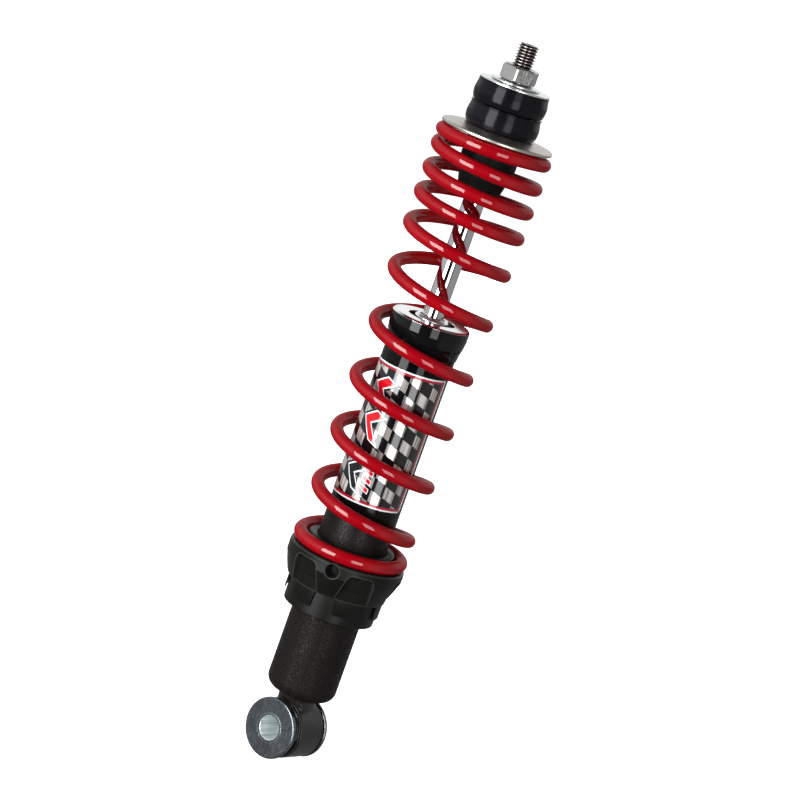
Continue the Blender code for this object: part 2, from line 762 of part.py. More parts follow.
def bump_stop():
    top = SEAT_RIM_Z + SEAT_RISE - GAP
    edge = 1.0 * MM
    profile = [
        (ROD_RADIUS + GAP, BUMP_BOTTOM_Z),
        (BUMP_TIP_RADIUS - edge, BUMP_BOTTOM_Z),
        (BUMP_TIP_RADIUS, BUMP_BOTTOM_Z + edge),
        (BUMP_RADIUS, BUMP_CONE_Z),
        (BUMP_RADIUS, top - edge),
        (BUMP_RADIUS - edge, top),
        (ROD_RADIUS + GAP, top),
    ]
    return turned("bump_stop", profile, "black_rubber", MIDDLE_SEGMENTS)


def barrel_side(low, high):
    """Bulged outer side of a rubber cushion, from its lower to its upper edge."""
    steps = 6
    points = []
    for step in range(steps + 1):
        share = 2.0 * step / steps - 1.0
        bulge = math.sqrt(1.0 - min(abs(share), 1.0) ** 3)
        radius = CUSHION_END_RADIUS + (CUSHION_RADIUS - CUSHION_END_RADIUS) * bulge
        points.append((radius, 0.5 * (low + high) + 0.5 * share * (high - low)))
    return points


def cushions():
    """Two rubber cushions: the lower one's spigot passes through the frame's hole."""
    inner = SPACER_RADIUS + GAP
    low = SEAT_RIM_Z + SEAT_THICKNESS + SEAT_RISE + GAP
    split_low = CUSHION_SPLIT_Z - 0.5 * GAP
    split_high = CUSHION_SPLIT_Z + 0.5 * GAP
    lower = [(inner, low)] + barrel_side(low, split_low)
    lower += [
        (CUSHION_SPIGOT_RADIUS, split_low),
        (CUSHION_SPIGOT_RADIUS, split_low + CUSHION_SPIGOT_HEIGHT),
        (inner, split_low + CUSHION_SPIGOT_HEIGHT),
    ]
    upper = [
        (inner, split_high + CUSHION_SPIGOT_HEIGHT),
        (CUSHION_SPIGOT_RADIUS + GAP, split_high + CUSHION_SPIGOT_HEIGHT),
        (CUSHION_SPIGOT_RADIUS + GAP, split_high),
    ]
    upper += barrel_side(split_high, CUSHION_TOP_Z) + [(inner, CUSHION_TOP_Z)]
    return [
        turned("lower_cushion", lower, "black_rubber", MIDDLE_SEGMENTS),
        turned("upper_cushion", upper, "black_rubber", MIDDLE_SEGMENTS),
    ]


def stud_hardware():
    """Spacer inside the cushions, the two washers over them and the nut."""
    low = SEAT_RIM_Z + SEAT_THICKNESS + SEAT_RISE + GAP
    cup_low = CUSHION_TOP_Z + GAP
    plain_low = cup_low + WASHER_THICKNESS + GAP
    nut_top = plain_low + WASHER_THICKNESS + GAP + NUT_HEIGHT
    hole = STUD_HOLE_RADIUS
    edge = 0.3 * MM
    spacer = tube_profile(hole, SPACER_RADIUS, low, CUSHION_TOP_Z)
    cup = tube_profile(hole, CUP_WASHER_RADIUS, cup_low, cup_low + WASHER_THICKNESS, edge)
    plain = tube_profile(hole, PLAIN_WASHER_RADIUS, plain_low, plain_low + WASHER_THICKNESS, edge)
    return [
        turned("cushion_spacer", spacer, "bright_steel", SMALL_SEGMENTS),
        turned("cup_washer", cup, "bright_steel", MIDDLE_SEGMENTS),
        turned("plain_washer", plain, "bright_steel", MIDDLE_SEGMENTS),
        hex_nut("stud_nut", NUT_FLATS, NUT_HEIGHT, nut_top, hole, NUT_TURN_DEG, "zinc"),
    ]


# Spring


def smooth_step(share):
    share = min(max(share, 0.0), 1.0)
    return share * share * (3.0 - 2.0 * share)


def pitch_at(turn):
    """Fall of the coil per turn: closed, close-wound, opening, open and closed again."""
    if turn <= CLOSED_TURNS_TOP:
        return 0.0
    opening = smooth_step((turn - CLOSE_TURNS) / OPENING_TURNS)
    pitch = CLOSE_PITCH + (OPEN_PITCH - CLOSE_PITCH) * opening
    pitch *= smooth_step((turn - CLOSED_TURNS_TOP) / LEAD_OUT_TURNS)
    closing = smooth_step((turn - CLOSING_TURN) / (CLOSED_END_TURN - CLOSING_TURN))
    return pitch * (1.0 - closing)


def spring_heights():
    """Centre height of the wire at each step along the coil."""
    count = round((SPRING_LAST_TURN - SPRING_FIRST_TURN) * COIL_STEPS_PER_TURN)
    fine = 8
    height = 0.0
    falls = [0.0]
    for step in range(count):
        for part in range(fine):
            turn = SPRING_FIRST_TURN + (step + (part + 0.5) / fine) / COIL_STEPS_PER_TURN
            height += pitch_at(turn) / (fine * COIL_STEPS_PER_TURN)
        falls.append(height)
    bottom = COLLAR_SEAT_Z + GAP + WIRE_RADIUS
    scale = (SPRING_TOP_Z - bottom) / falls[-1]
    return [SPRING_TOP_Z - scale * fall for fall in falls]


def coil_spring():
    heights = spring_heights()
    loops = []
    for step, height in enumerate(heights):
        turn = SPRING_FIRST_TURN + step / COIL_STEPS_PER_TURN
        angle = math.radians(SPRING_START_DEG) + math.tau * turn
        before = heights[max(step - 1, 0)]
        after = heights[min(step + 1, len(heights) - 1)]
        slope = (after - before) * COIL_STEPS_PER_TURN / (2.0 * math.tau * COIL_RADIUS)
        outward = Vector((math.cos(angle), math.sin(angle), 0.0))
        tangent = Vector((-math.sin(angle), math.cos(angle), slope)).normalized()
        across = outward.cross(tangent)
        centre = outward * COIL_RADIUS + Vector((0.0, 0.0, height))
        loop = []
        for side in range(COIL_SIDES):
            around = math.tau * side / COIL_SIDES
            loop.append(centre + WIRE_RADIUS * (math.cos(around) * outward + math.sin(around) * across))
        loops.append(loop)
    bm = bmesh.new()
    loft(bm, loops)
    return add_object("coil_spring", bm, "red_coat")


# Preload adjuster


def cam_height(share):
    """Height of the cam ramp at a share of one lobe."""
    return CAM_BASE_Z + CAM_RISE * share


def add_cam_lobes(bm, outline):
    """Three ramps round Z. outline(ramp height) gives the (radius, height) points."""
    span = 360.0 / CAM_LOBES
    for start in spaced_around(CAM_PHASE_DEG, CAM_LOBES):
        low = start + CAM_GAP_DEG
        high = start + span - CAM_GAP_DEG
        sector(bm, low, high, 8, lambda degrees: outline(cam_height((degrees - start) / span)))


def cam_ring():
    """Ring fixed on the tube, with three ramps that lift the collar as it turns."""
    edge = 0.5 * MM
    counterbore = CAM_RING_BOTTOM_Z + 2.8 * MM
    profile = [
        (20.2 * MM, CAM_RING_BOTTOM_Z),
        (CAM_RING_RADIUS - edge, CAM_RING_BOTTOM_Z),
        (CAM_RING_RADIUS, CAM_RING_BOTTOM_Z + edge),
        (CAM_RING_RADIUS, CAM_BASE_Z - edge),
        (CAM_RADIUS, CAM_BASE_Z),
        (CAM_RING_BORE_RADIUS, CAM_BASE_Z),
        (CAM_RING_BORE_RADIUS, counterbore),
        (20.2 * MM, counterbore),
    ]
    ring = turned("cam_ring", profile, "collar_black")
    bm = bmesh.new()
    foot = CAM_BASE_Z - 2 * MM
    inner = CAM_RING_BORE_RADIUS + 0.1 * MM
    outer = CAM_RADIUS - 0.1 * MM
    add_cam_lobes(bm, lambda top: [(inner, foot), (inner, top), (outer, top), (outer, foot)])
    lobes = add_object("cam_ring_tool", bm, None, smooth=False)
    boolean(ring, lobes, "UNION")
    return ring


def retaining_clip():
    """Open wire ring in the tube's groove, under the cam ring."""
    centre = (TUBE_RADIUS - CLIP_GROOVE_DEPTH + GAP + CLIP_WIRE_RADIUS, CLIP_Z)
    circle = arc(centre, CLIP_WIRE_RADIUS, 0, 360, 6)[:-1]
    bm = bmesh.new()
    sector(bm, 20.0, 350.0, 24, lambda degrees: circle)
    return add_object("retaining_clip", bm, "bright_steel")


def collar_pockets(bm):
    """Cutters of the six tapered pockets, whose floors lean in towards the bottom."""
    levels = [(93.3 * MM, 12.6), (85.6 * MM, 15.7), (COLLAR_BOTTOM_Z - 1 * MM, 19.4)]
    floors = [28.5 * MM, 26.6 * MM, 25.15 * MM]
    for angle in spaced_around(POCKET_ANGLE_DEG, POCKET_COUNT):
        tapered_sector(bm, angle, levels, floors, COLLAR_RADIUS + 3 * MM, 3)


def collar_tabs(bm):
    """Six thin tabs that hang under the pockets and hide the ramps."""
    levels = [(COLLAR_BOTTOM_Z + 1.5 * MM, TAB_HALF_DEG), (TAB_BOTTOM_Z, TAB_HALF_DEG - 1.6)]
    for angle in spaced_around(POCKET_ANGLE_DEG, POCKET_COUNT):
        tapered_sector(bm, angle, levels, [TAB_INNER_RADIUS] * 2, TAB_OUTER_RADIUS, 3)


def preload_collar():
    """Lower spring seat: turning it by its pin holes climbs the cam ring."""
    ceiling = CAM_BASE_Z + CAM_RISE + GAP
    profile = [
        (COLLAR_SKIRT_RADIUS, COLLAR_BOTTOM_Z),
        (COLLAR_BOTTOM_RADIUS - 0.4 * MM, COLLAR_BOTTOM_Z),
        (COLLAR_BOTTOM_RADIUS, COLLAR_BOTTOM_Z + 0.4 * MM),
        (26.85 * MM, 80.4 * MM),
        (28.3 * MM, 84.4 * MM),
        (29.45 * MM, 88.2 * MM),
        (COLLAR_RADIUS, COLLAR_CONE_Z),
        (COLLAR_RADIUS, COLLAR_SEAT_Z - COLLAR_EDGE),
        (COLLAR_RADIUS - 0.3 * COLLAR_EDGE, COLLAR_SEAT_Z - 0.3 * COLLAR_EDGE),
        (COLLAR_RADIUS - COLLAR_EDGE, COLLAR_SEAT_Z),
        (SPIGOT_GUIDE_RADIUS, COLLAR_SEAT_Z),
        (SPIGOT_GUIDE_RADIUS, SPIGOT_GUIDE_TOP_Z - COLLAR_EDGE),
        (SPIGOT_GUIDE_RADIUS - COLLAR_EDGE, SPIGOT_GUIDE_TOP_Z),
        (COLLAR_BORE_RADIUS, SPIGOT_GUIDE_TOP_Z),
        (COLLAR_BORE_RADIUS, ceiling),
        (COLLAR_SKIRT_RADIUS, ceiling),
    ]
    collar = turned("preload_collar", profile, "collar_black")
    bm = bmesh.new()
    roof = ceiling + 1.5 * MM
    inner = COLLAR_BORE_RADIUS + 0.1 * MM
    outer = COLLAR_SKIRT_RADIUS + 0.9 * MM
    add_cam_lobes(bm, lambda ramp: [(inner, ramp + GAP), (inner, roof), (outer, roof), (outer, ramp + GAP)])
    collar_tabs(bm)
    additions = add_object("collar_add_tool", bm, None, smooth=False)
    boolean(collar, additions, "UNION")
    bm = bmesh.new()
    collar_pockets(bm)
    for angle in spaced_around(HOLE_ANGLE_DEG, HOLE_COUNT):
        radial_cylinder(bm, HOLE_RADIUS, COLLAR_RADIUS - HOLE_DEPTH, COLLAR_RADIUS + 3 * MM, angle, HOLE_Z)
    cutters = add_object("collar_cut_tool", bm, None, smooth=False)
    boolean(collar, cutters, "DIFFERENCE")
    return collar


def build():
    clear_scene()
    eye_sleeve()
    eye_washer("eye_washer_front", -1.0)
    eye_washer("eye_washer_back", 1.0)
    damper = [eye_rubber(), eye_ring(), damper_tube(), label(), gland_cap(), rod_wiper()]
    damper += gland_rings()
    damper += [o_ring("gland_seal", GLAND_GROOVE_Z), cam_ring(), retaining_clip()]
    parent_to(damper, add_pivot("eye_axis", (0.0, 0.0, 0.0)))
    parent_to(floating_piston(), add_pivot("floating_piston_axis", (0.0, 0.0, 0.0)))
    parent_to([preload_collar()], add_pivot("collar_axis", (0.0, 0.0, 0.0)))
    parent_to([coil_spring()], add_pivot("spring_axis", (0.0, 0.0, 0.0)))
    rod = [piston_rod(), rebound_stop(), piston(), piston_band()]
    rod.append(shim_stack("rebound_shims", PISTON_TOP_Z + GAP, 1.0))
    rod.append(shim_stack("compression_shims", PISTON_BOTTOM_Z - GAP, -1.0))
    rod.append(
        hex_nut("piston_nut", PISTON_NUT_FLATS, PISTON_NUT_HEIGHT, PISTON_NUT_TOP_Z, TAIL_HOLE_RADIUS, 0.0, "zinc")
    )
    rod += [spring_seat(), bump_stop()]
    rod += cushions()
    rod += stud_hardware()
    parent_to(rod, add_pivot("rod_axis", (0.0, 0.0, 0.0)))


build()
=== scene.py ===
"""Looks of the rear shock absorber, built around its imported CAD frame.

Lengths in the outlines are in millimetres. Angles round the shock are counted from the
side that the camera sees, positive towards the picture's right.
"""

import math

import bpy
import numpy as np
from mathutils import Matrix, Vector


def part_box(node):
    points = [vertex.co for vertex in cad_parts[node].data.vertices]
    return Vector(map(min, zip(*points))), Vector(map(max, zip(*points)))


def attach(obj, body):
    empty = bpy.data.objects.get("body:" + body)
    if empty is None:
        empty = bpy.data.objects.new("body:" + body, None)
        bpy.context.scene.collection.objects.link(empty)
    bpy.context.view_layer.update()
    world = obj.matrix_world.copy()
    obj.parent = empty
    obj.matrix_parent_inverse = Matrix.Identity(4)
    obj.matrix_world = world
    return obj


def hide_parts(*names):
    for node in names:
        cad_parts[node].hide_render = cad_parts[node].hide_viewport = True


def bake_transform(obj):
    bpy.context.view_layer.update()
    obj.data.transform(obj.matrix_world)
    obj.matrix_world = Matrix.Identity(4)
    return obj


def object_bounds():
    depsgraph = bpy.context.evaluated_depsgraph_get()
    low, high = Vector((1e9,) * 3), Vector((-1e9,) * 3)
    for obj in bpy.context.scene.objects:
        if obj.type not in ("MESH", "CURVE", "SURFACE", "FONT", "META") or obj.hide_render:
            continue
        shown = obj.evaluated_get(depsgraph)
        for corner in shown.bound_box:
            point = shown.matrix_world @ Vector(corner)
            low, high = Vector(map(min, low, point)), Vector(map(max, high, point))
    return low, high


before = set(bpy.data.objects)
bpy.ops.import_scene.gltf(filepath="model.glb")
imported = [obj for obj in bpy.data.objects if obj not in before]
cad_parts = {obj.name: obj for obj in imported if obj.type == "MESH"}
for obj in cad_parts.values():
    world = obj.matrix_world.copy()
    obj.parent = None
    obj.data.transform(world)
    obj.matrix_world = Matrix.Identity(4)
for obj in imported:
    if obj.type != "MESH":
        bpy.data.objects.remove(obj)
cad_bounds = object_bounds()

MM = 0.001
TAU = math.tau
FRONT_DEG = -55.0  # direction of the camera round Z, from +X
CAMERA_REACH = 1.5989  # metres from the axis of the shock
CAMERA_HEIGHT = 0.5035  # metres above the centre of the eye
CAMERA_SIDE = -0.00143  # metres to the right of the axis
CAMERA_PITCH_DEG = 11.46
CAMERA_ROLL_DEG = 19.65
CAMERA_LENS = 147.57
SHARP_DEG = 35.0  # edges that bend more than this stay sharp

# ---- mesh tools


def z_span(node):
    low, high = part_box(node)
    return low.z / MM, high.z / MM


def smooth_step(share):
    share = np.clip(share, 0.0, 1.0)
    return share * share * (3.0 - 2.0 * share)


def rounded(corners, steps=4):
    """Outline with its corners rounded: (radius, height) or (radius, height, fillet)."""
    points = []
    count = len(corners)
    for index, corner in enumerate(corners):
        here = np.array(corner[:2], float)
        fillet = corner[2] if len(corner) > 2 else 0.0
        before = np.array(corners[index - 1][:2], float) - here
        after = np.array(corners[(index + 1) % count][:2], float) - here
        if fillet <= 0.0:
            points.append(tuple(here))
            continue
        length_before = np.linalg.norm(before)
        length_after = np.linalg.norm(after)
        before /= length_before
        after /= length_after
        opening = math.acos(max(-1.0, min(1.0, float(before @ after))))
        reach = fillet / math.tan(opening / 2.0)
        limit = 0.49 * min(length_before, length_after)
        if reach > limit:
            fillet *= limit / reach
            reach = limit
        middle = before + after
        middle /= np.linalg.norm(middle)
        centre = here + middle * (fillet / math.sin(opening / 2.0))
        first = here + before * reach - centre
        last = here + after * reach - centre
        turn = math.atan2(first[0] * last[1] - first[1] * last[0], float(first @ last))
        for step in range(steps + 1):
            angle = turn * step / steps
            cos, sin = math.cos(angle), math.sin(angle)
            turned = (first[0] * cos - first[1] * sin, first[0] * sin + first[1] * cos)
            points.append(tuple(centre + turned))
    return points


def in_scene(name, data):
    made = bpy.data.objects.new(name, data)
    bpy.context.scene.collection.objects.link(made)
    return made


def new_object(name, verts, faces, smooth_deg=SHARP_DEG):
    mesh = bpy.data.meshes.new(name)
    mesh.from_pydata(np.asarray(verts, float).tolist(), [], faces)
    mesh.validate()
    mesh.shade_smooth()
    mesh.set_sharp_from_angle(angle=math.radians(smooth_deg))
    return in_scene(name, mesh)


def even_normals(piece):
    """Keep flat faces flat beside their rounded edges."""
    modifier = piece.modifiers.new("Normals", "WEIGHTED_NORMAL")
    modifier.keep_sharp = True


def grid_faces(rows, columns, closed_rows, closed_columns, base=0):
    """Quads of a grid whose vertices are numbered row by row, from base."""
    faces = []
    for row in range(rows if closed_rows else rows - 1):
        low, high = base + row * columns, base + (row + 1) % rows * columns
        for side in range(columns if closed_columns else columns - 1):
            after = (side + 1) % columns
            faces.append((low + side, low + after, high + after, high + side))
    return faces


def lathe(name, outline, segments=128, along_y=False, warp=None):
    """Spin an outline of (radius, height) in millimetres, counter-clockwise, about Z or Y.

    A first or last point on the axis closes the piece there. warp moves the points before
    they are laid out: it takes and returns arrays of radius, angle and height.
    """
    outline = np.array(outline, float)
    start_on_axis = outline[0, 0] == 0.0
    end_on_axis = outline[-1, 0] == 0.0
    body = outline[int(start_on_axis) : len(outline) - int(end_on_axis)]
    sides = range(segments)
    angle = np.arange(segments) * TAU / segments
    radius = np.repeat(body[:, :1], segments, 1)
    height = np.repeat(body[:, 1:], segments, 1)
    angle = np.repeat(angle[None, :], len(body), 0)
    if warp:
        radius, angle, height = warp(radius, angle, height)
    verts = np.stack([radius * np.cos(angle), radius * np.sin(angle), height], -1).reshape(-1, 3)
    open_ends = start_on_axis or end_on_axis
    faces = grid_faces(len(body), segments, not open_ends, True)
    if start_on_axis:
        verts = np.vstack([verts, [[0.0, 0.0, outline[0, 1]]]])
        faces += [(len(verts) - 1, (side + 1) % segments, side) for side in sides]
    if end_on_axis:
        verts = np.vstack([verts, [[0.0, 0.0, outline[-1, 1]]]])
        base = (len(body) - 1) * segments
        faces += [(len(verts) - 1, base + side, base + (side + 1) % segments) for side in sides]
    if along_y:
        verts = np.stack([verts[:, 0], verts[:, 2], -verts[:, 1]], -1)
    piece = new_object(name, verts * MM, faces)
    even_normals(piece)
    return piece


def blocks(name, rows):
    """One object from rows of equal closed sections, each row capped at both ends."""
    verts, faces = [], []
    for sections in rows:
        base, count = len(verts), len(sections[0])
        for section in sections:
            verts.extend(section)
        faces.extend(grid_faces(len(sections), count, False, True, base))
        faces.append(tuple(base + index for index in reversed(range(count))))
        last = base + (len(sections) - 1) * count
        faces.append(tuple(last + index for index in range(count)))
    return new_object(name, np.array(verts) * MM, faces)


def polar(radius, degrees, height):
    angle = math.radians(degrees)
    return (radius * math.cos(angle), radius * math.sin(angle), height)


def turned(name, body, slot, material, node, corners, segments, steps=4, along_y=False):
    """Finish a piece that is only a rounded outline spun about an axis."""
    piece = lathe(name, rounded(corners, steps), segments, along_y)
    finish(piece, body, slot, material, node)


def two_tone(piece, main, other, is_other):
    """Give a piece a second material on the faces that pass a test."""
    piece.data.materials.append(main)
    piece.data.materials.append(other)
    for polygon in piece.data.polygons:
        if is_other(polygon):
            polygon.material_index = 1


def finish(piece, body, slot, material, *nodes):
    """Give a piece its material, its body and the CAD nodes that it stands for.

    A piece that already has two tones takes None as its material.
    """
    if material:
        piece.data.materials.append(material)
    if body:
        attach(piece, body)
    if nodes:
        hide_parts(*nodes)


# ---- material tools


class Nodes:
    """Short calls that add nodes to a tree and return their output."""

    def __init__(self, tree, place):
        self.nodes, self.links = tree.nodes, tree.links
        self.place = self.nodes.new("ShaderNodeTexCoord").outputs[place]

    def put(self, socket, value):
        if isinstance(value, bpy.types.NodeSocket):
            self.links.new(value, socket)
        elif isinstance(value, tuple) and len(value) < len(socket.default_value):
            socket.default_value = (*value, 1.0)
        else:
            socket.default_value = value

    def make(self, kind, **inputs):
        """Add a node and fill the inputs that are named."""
        node = self.nodes.new("ShaderNode" + kind)
        for key, value in inputs.items():
            self.put(node.inputs[key], value)
        return node

    def math(self, operation, *values, kind="Math"):
        node = self.make(kind)
        node.operation = operation
        for socket, value in zip(node.inputs, values):
            self.put(socket, value)
        return node.outputs[0]

    def add(self, first, second):
        return self.math("ADD", first, second)

    def minus(self, first, second):
        return self.math("SUBTRACT", first, second)

    def times(self, first, second):
        return self.math("MULTIPLY", first, second)

    def least(self, first, second):
        return self.math("MINIMUM", first, second)

    def most(self, first, second):
        return self.math("MAXIMUM", first, second)

    def axis(self, which):
        return self.make("SeparateXYZ", Vector=self.place).outputs[which]

    def spread(self, value, low, high, new_low=0.0, new_high=1.0, smooth=False):
        """Map a range of values to another, and stay inside that one."""
        node = self.make("MapRange")
        if smooth:
            node.interpolation_type = "SMOOTHSTEP"
        for socket, number in zip(node.inputs, (value, low, high, new_low, new_high)):
            self.put(socket, number)
        return node.outputs[0]


class Paint(Nodes):
    """A material in the making."""

    def __init__(self, name):
        self.material = bpy.data.materials.new(name)
        self.material.use_nodes = True
        super().__init__(self.material.node_tree, "Object")
        self.shader = self.nodes["Principled BSDF"]

    def set(self, specular=None, **values):
        if specular is not None:
            self.shader.inputs["Specular IOR Level"].default_value = specular
        for key, value in values.items():
            self.put(self.shader.inputs[key.replace("_", " ").title()], value)

    def scaled(self, x, y, z):
        """Object coordinates multiplied along each axis."""
        return self.make("Mapping", Vector=self.place, Scale=(x, y, z)).outputs[0]

    def noise(self, scale, detail=3.0, roughness=0.5, place=None):
        place = place or self.place
        node = self.make("TexNoise", Vector=place, Scale=scale, Detail=detail, Roughness=roughness)
        return node.outputs[0]

    def cells(self, scale):
        return self.make("TexVoronoi", Vector=self.place, Scale=scale).outputs["Distance"]

    def ring_distance(self, first, second):
        """Distance from the axis across the two given directions."""
        squares = [self.times(self.axis(which), self.axis(which)) for which in (first, second)]
        return self.math("SQRT", self.add(*squares))

    def mix(self, share, first, second):
        node = self.make("Mix")
        node.data_type = "RGBA"
        for index, value in ((0, share), (6, first), (7, second)):
            self.put(node.inputs[index], value)
        return node.outputs[2]

    def mix_value(self, factor, low, high):
        """Linear mix of two values."""
        return self.add(self.times(self.minus(1.0, factor), low), self.times(factor, high))

    def bump(self, height, strength, distance, under=None):
        node = self.make("Bump", Strength=strength, Distance=distance, Height=height)
        if under:
            self.put(node.inputs["Normal"], under)
        return node.outputs[0]


def red_powder():
    """Red powder coat: a clear skin that fades at grazing angles, over a matt red."""
    paint = Paint("red_powder")
    cloud = paint.noise(45.0, 2.0)
    light, dark = (0.30, 0.0010, 0.0056), (0.26, 0.0008, 0.0048)
    colour = paint.mix(paint.spread(cloud, 0.3, 0.7), light, dark)
    peel = paint.noise(260.0, 2.0, 0.5)
    facing = paint.make("LayerWeight").outputs["Facing"]
    paint.set(
        specular=0.03,
        base_color=colour,
        roughness=paint.spread(peel, 0.3, 0.7, 0.32, 0.4),
        coat_weight=paint.spread(facing, 0.14, 0.62, 1.0, 0.05),
        coat_roughness=0.03,
        normal=paint.bump(peel, 0.03, 0.0003),
        coat_normal=paint.bump(peel, 0.003, 0.0003),
    )
    return paint.material


def turned_metal(name, colour, tint, roughness, along="Z", grooves=2600.0, depth=0.08):
    """Metal with fine turning marks round an axis and a mottled plate."""
    paint = Paint(name)
    first, second = ("X", "Y") if along == "Z" else ("X", "Z")
    reach = paint.ring_distance(first, second)
    across, down = paint.times(reach, grooves), paint.times(paint.axis(along), grooves)
    lines = paint.noise(1.0, 2.0, 0.6, paint.make("CombineXYZ", X=across, Y=down).outputs[0])
    mottle = paint.noise(260.0, 4.0, 0.6)
    paint.set(
        metallic=1.0,
        base_color=paint.mix(paint.spread(mottle, 0.35, 0.65), colour, tint),
        roughness=paint.spread(lines, 0.25, 0.75, roughness * 0.75, roughness * 1.35),
        normal=paint.bump(lines, depth, 0.0001),
    )
    return paint.material


def plated_metal(name, colour, tint, roughness, grain=700.0, depth=0.1):
    """Zinc plate: fine crystals, soft stains and small scratches."""
    paint = Paint(name)
    crystals = paint.cells(grain)
    stain = paint.noise(110.0, 4.0, 0.6)
    scratch = paint.noise(1.0, 2.0, 0.5, paint.scaled(2500.0, 300.0, 160.0))
    colour = paint.mix(paint.spread(stain, 0.35, 0.7), colour, tint)
    shade = paint.spread(crystals, 0.0, 0.8, 0.75, 1.0)
    scuff = paint.spread(scratch, 0.3, 0.8, roughness * 0.8, roughness * 1.4)
    paint.set(
        metallic=1.0,
        base_color=colour,
        roughness=paint.times(shade, scuff),
        normal=paint.bump(crystals, depth, 0.0002, paint.bump(scratch, depth * 0.5, 0.0001)),
    )
    return paint.material


def drawn_tube(name, light, dark, roughness, metallic=1.0):
    """Drawn and plated tube with light and dark streaks along Y, partly drawing marks and partly
    painted reflection streaks.
    """
    paint = Paint(name)
    streak = paint.noise(1.0, 3.0, 0.6, paint.scaled(620.0, 14.0, 620.0))
    fine = paint.noise(1.0, 2.0, 0.5, paint.scaled(3000.0, 60.0, 3000.0))
    paint.set(
        metallic=metallic,
        base_color=paint.mix(paint.spread(streak, 0.35, 0.65), light, dark),
        roughness=paint.spread(fine, 0.3, 0.7, roughness * 0.7, roughness * 1.4),
        normal=paint.bump(fine, 0.1, 0.0001),
    )
    return paint.material


def moulded(
    name, colour, roughness, grain=1500.0, depth=0.12, dust=0.25, specular=0.5, painted_edge_highlight=None
):
    """Moulded rubber or plastic: fine skin, faint dust.

    A painted edge highlight lightens the colour where the mesh's edge attribute is high.
    """
    paint = Paint(name)
    skin = paint.noise(grain, 3.0, 0.6)
    patch = paint.noise(70.0, 4.0, 0.6)
    light = tuple(channel * 1.9 + 0.002 for channel in colour)
    colour = paint.mix(paint.spread(patch, 0.45, 0.85, 0.0, dust), colour, light)
    if painted_edge_highlight:
        edge = paint.make("Attribute")
        edge.attribute_name = "edge"
        colour = paint.mix(edge.outputs["Fac"], colour, painted_edge_highlight)
    paint.set(
        specular=specular,
        base_color=colour,
        roughness=paint.spread(patch, 0.3, 0.7, roughness * 0.85, roughness * 1.15),
        normal=paint.bump(skin, depth, 0.0002),
    )
    return paint.material


def textured_coat(name, upper, lower, height, roughness, depth=0.5, specular=0.5, painted_glint=0.0):
    """Black coat: textured and browner below a height in metres, smooth above it, with painted
    glints as small spots of paler base colour.
    """
    paint = Paint(name)
    grain = paint.cells(1900.0)
    lumps = paint.noise(1100.0, 2.0, 0.5)
    glint = paint.noise(1250.0, 2.0, 0.6)
    streak = paint.noise(1.0, 3.0, 0.6, paint.scaled(420.0, 420.0, 22.0))
    low = paint.spread(paint.axis("Z"), height, height + 0.03, 1.0, 0.0)
    pale = tuple(channel * 2.0 for channel in lower)
    brown = paint.mix(paint.spread(streak, 0.4, 0.75), lower, pale)
    texture = paint.add(paint.times(lumps, 0.6), paint.times(grain, 0.4))
    texture = paint.times(texture, paint.mix_value(low, 0.03, 1.0))
    # Painted glints: small spots where the base colour is mixed towards pale grey.
    painted_glint_spots = paint.spread(glint, 0.6, 0.72, 0.0, painted_glint)
    matt = paint.spread(glint, 0.53, 0.59, 0.72 if painted_glint else roughness * 1.3, roughness)
    paint.set(
        specular=specular,
        base_color=paint.mix(painted_glint_spots, paint.mix(low, upper, brown), (0.3, 0.29, 0.28)),
        roughness=paint.mix_value(low, 0.07, matt),
        normal=paint.bump(texture, depth, 0.00025),
    )
    return paint.material


def chrome_plate():
    paint = Paint("hard_chrome")
    polish = paint.noise(1.0, 2.0, 0.5, paint.scaled(90.0, 90.0, 2600.0))
    smear = paint.noise(60.0, 3.0, 0.6)
    paint.set(
        metallic=1.0,
        base_color=paint.mix(
            paint.spread(smear, 0.4, 0.8), (0.72, 0.70, 0.73), (0.60, 0.58, 0.62)
        ),
        roughness=paint.spread(smear, 0.35, 0.75, 0.012, 0.03),
        normal=paint.bump(polish, 0.008, 0.00005),
    )
    return paint.material


def thread_steel():
    """Bare oiled steel of the rolled thread, with painted shade that darkens the colour in its
    roots.
    """
    paint = Paint("thread_steel")
    reach = paint.ring_distance("X", "Y")
    root_reach, crest_reach = 0.00435, 0.00492
    # Painted shade: the base colour turns nearly black towards the thread's roots.
    painted_root_shade = paint.spread(reach, root_reach, crest_reach)
    stain = paint.noise(500.0, 4.0, 0.6)
    crest = paint.mix(paint.spread(stain, 0.35, 0.7), (0.46, 0.41, 0.40), (0.26, 0.22, 0.215))
    paint.set(
        metallic=0.9,
        base_color=paint.mix(painted_root_shade, (0.02, 0.014, 0.013), crest),
        roughness=paint.spread(stain, 0.3, 0.7, 0.15, 0.26),
        normal=paint.bump(stain, 0.1, 0.0001),
    )
    return paint.material


LABEL_RADIUS = 18.25  # printed face of the label, in millimetres
CELL = 6.45  # width of a chequer cell
CELL_ROW = 6.34  # height of a chequer cell
CELL_SLOPE = 0.41  # fall of the chequer's rows towards the right
CELL_ROW_Z = 192.75  # height of a line between two rows
SHAPE_MIDDLE = -10.8  # middle of the chevrons, along the arc
LABEL_START_DEG, LABEL_END_DEG = -147.2, 67.8


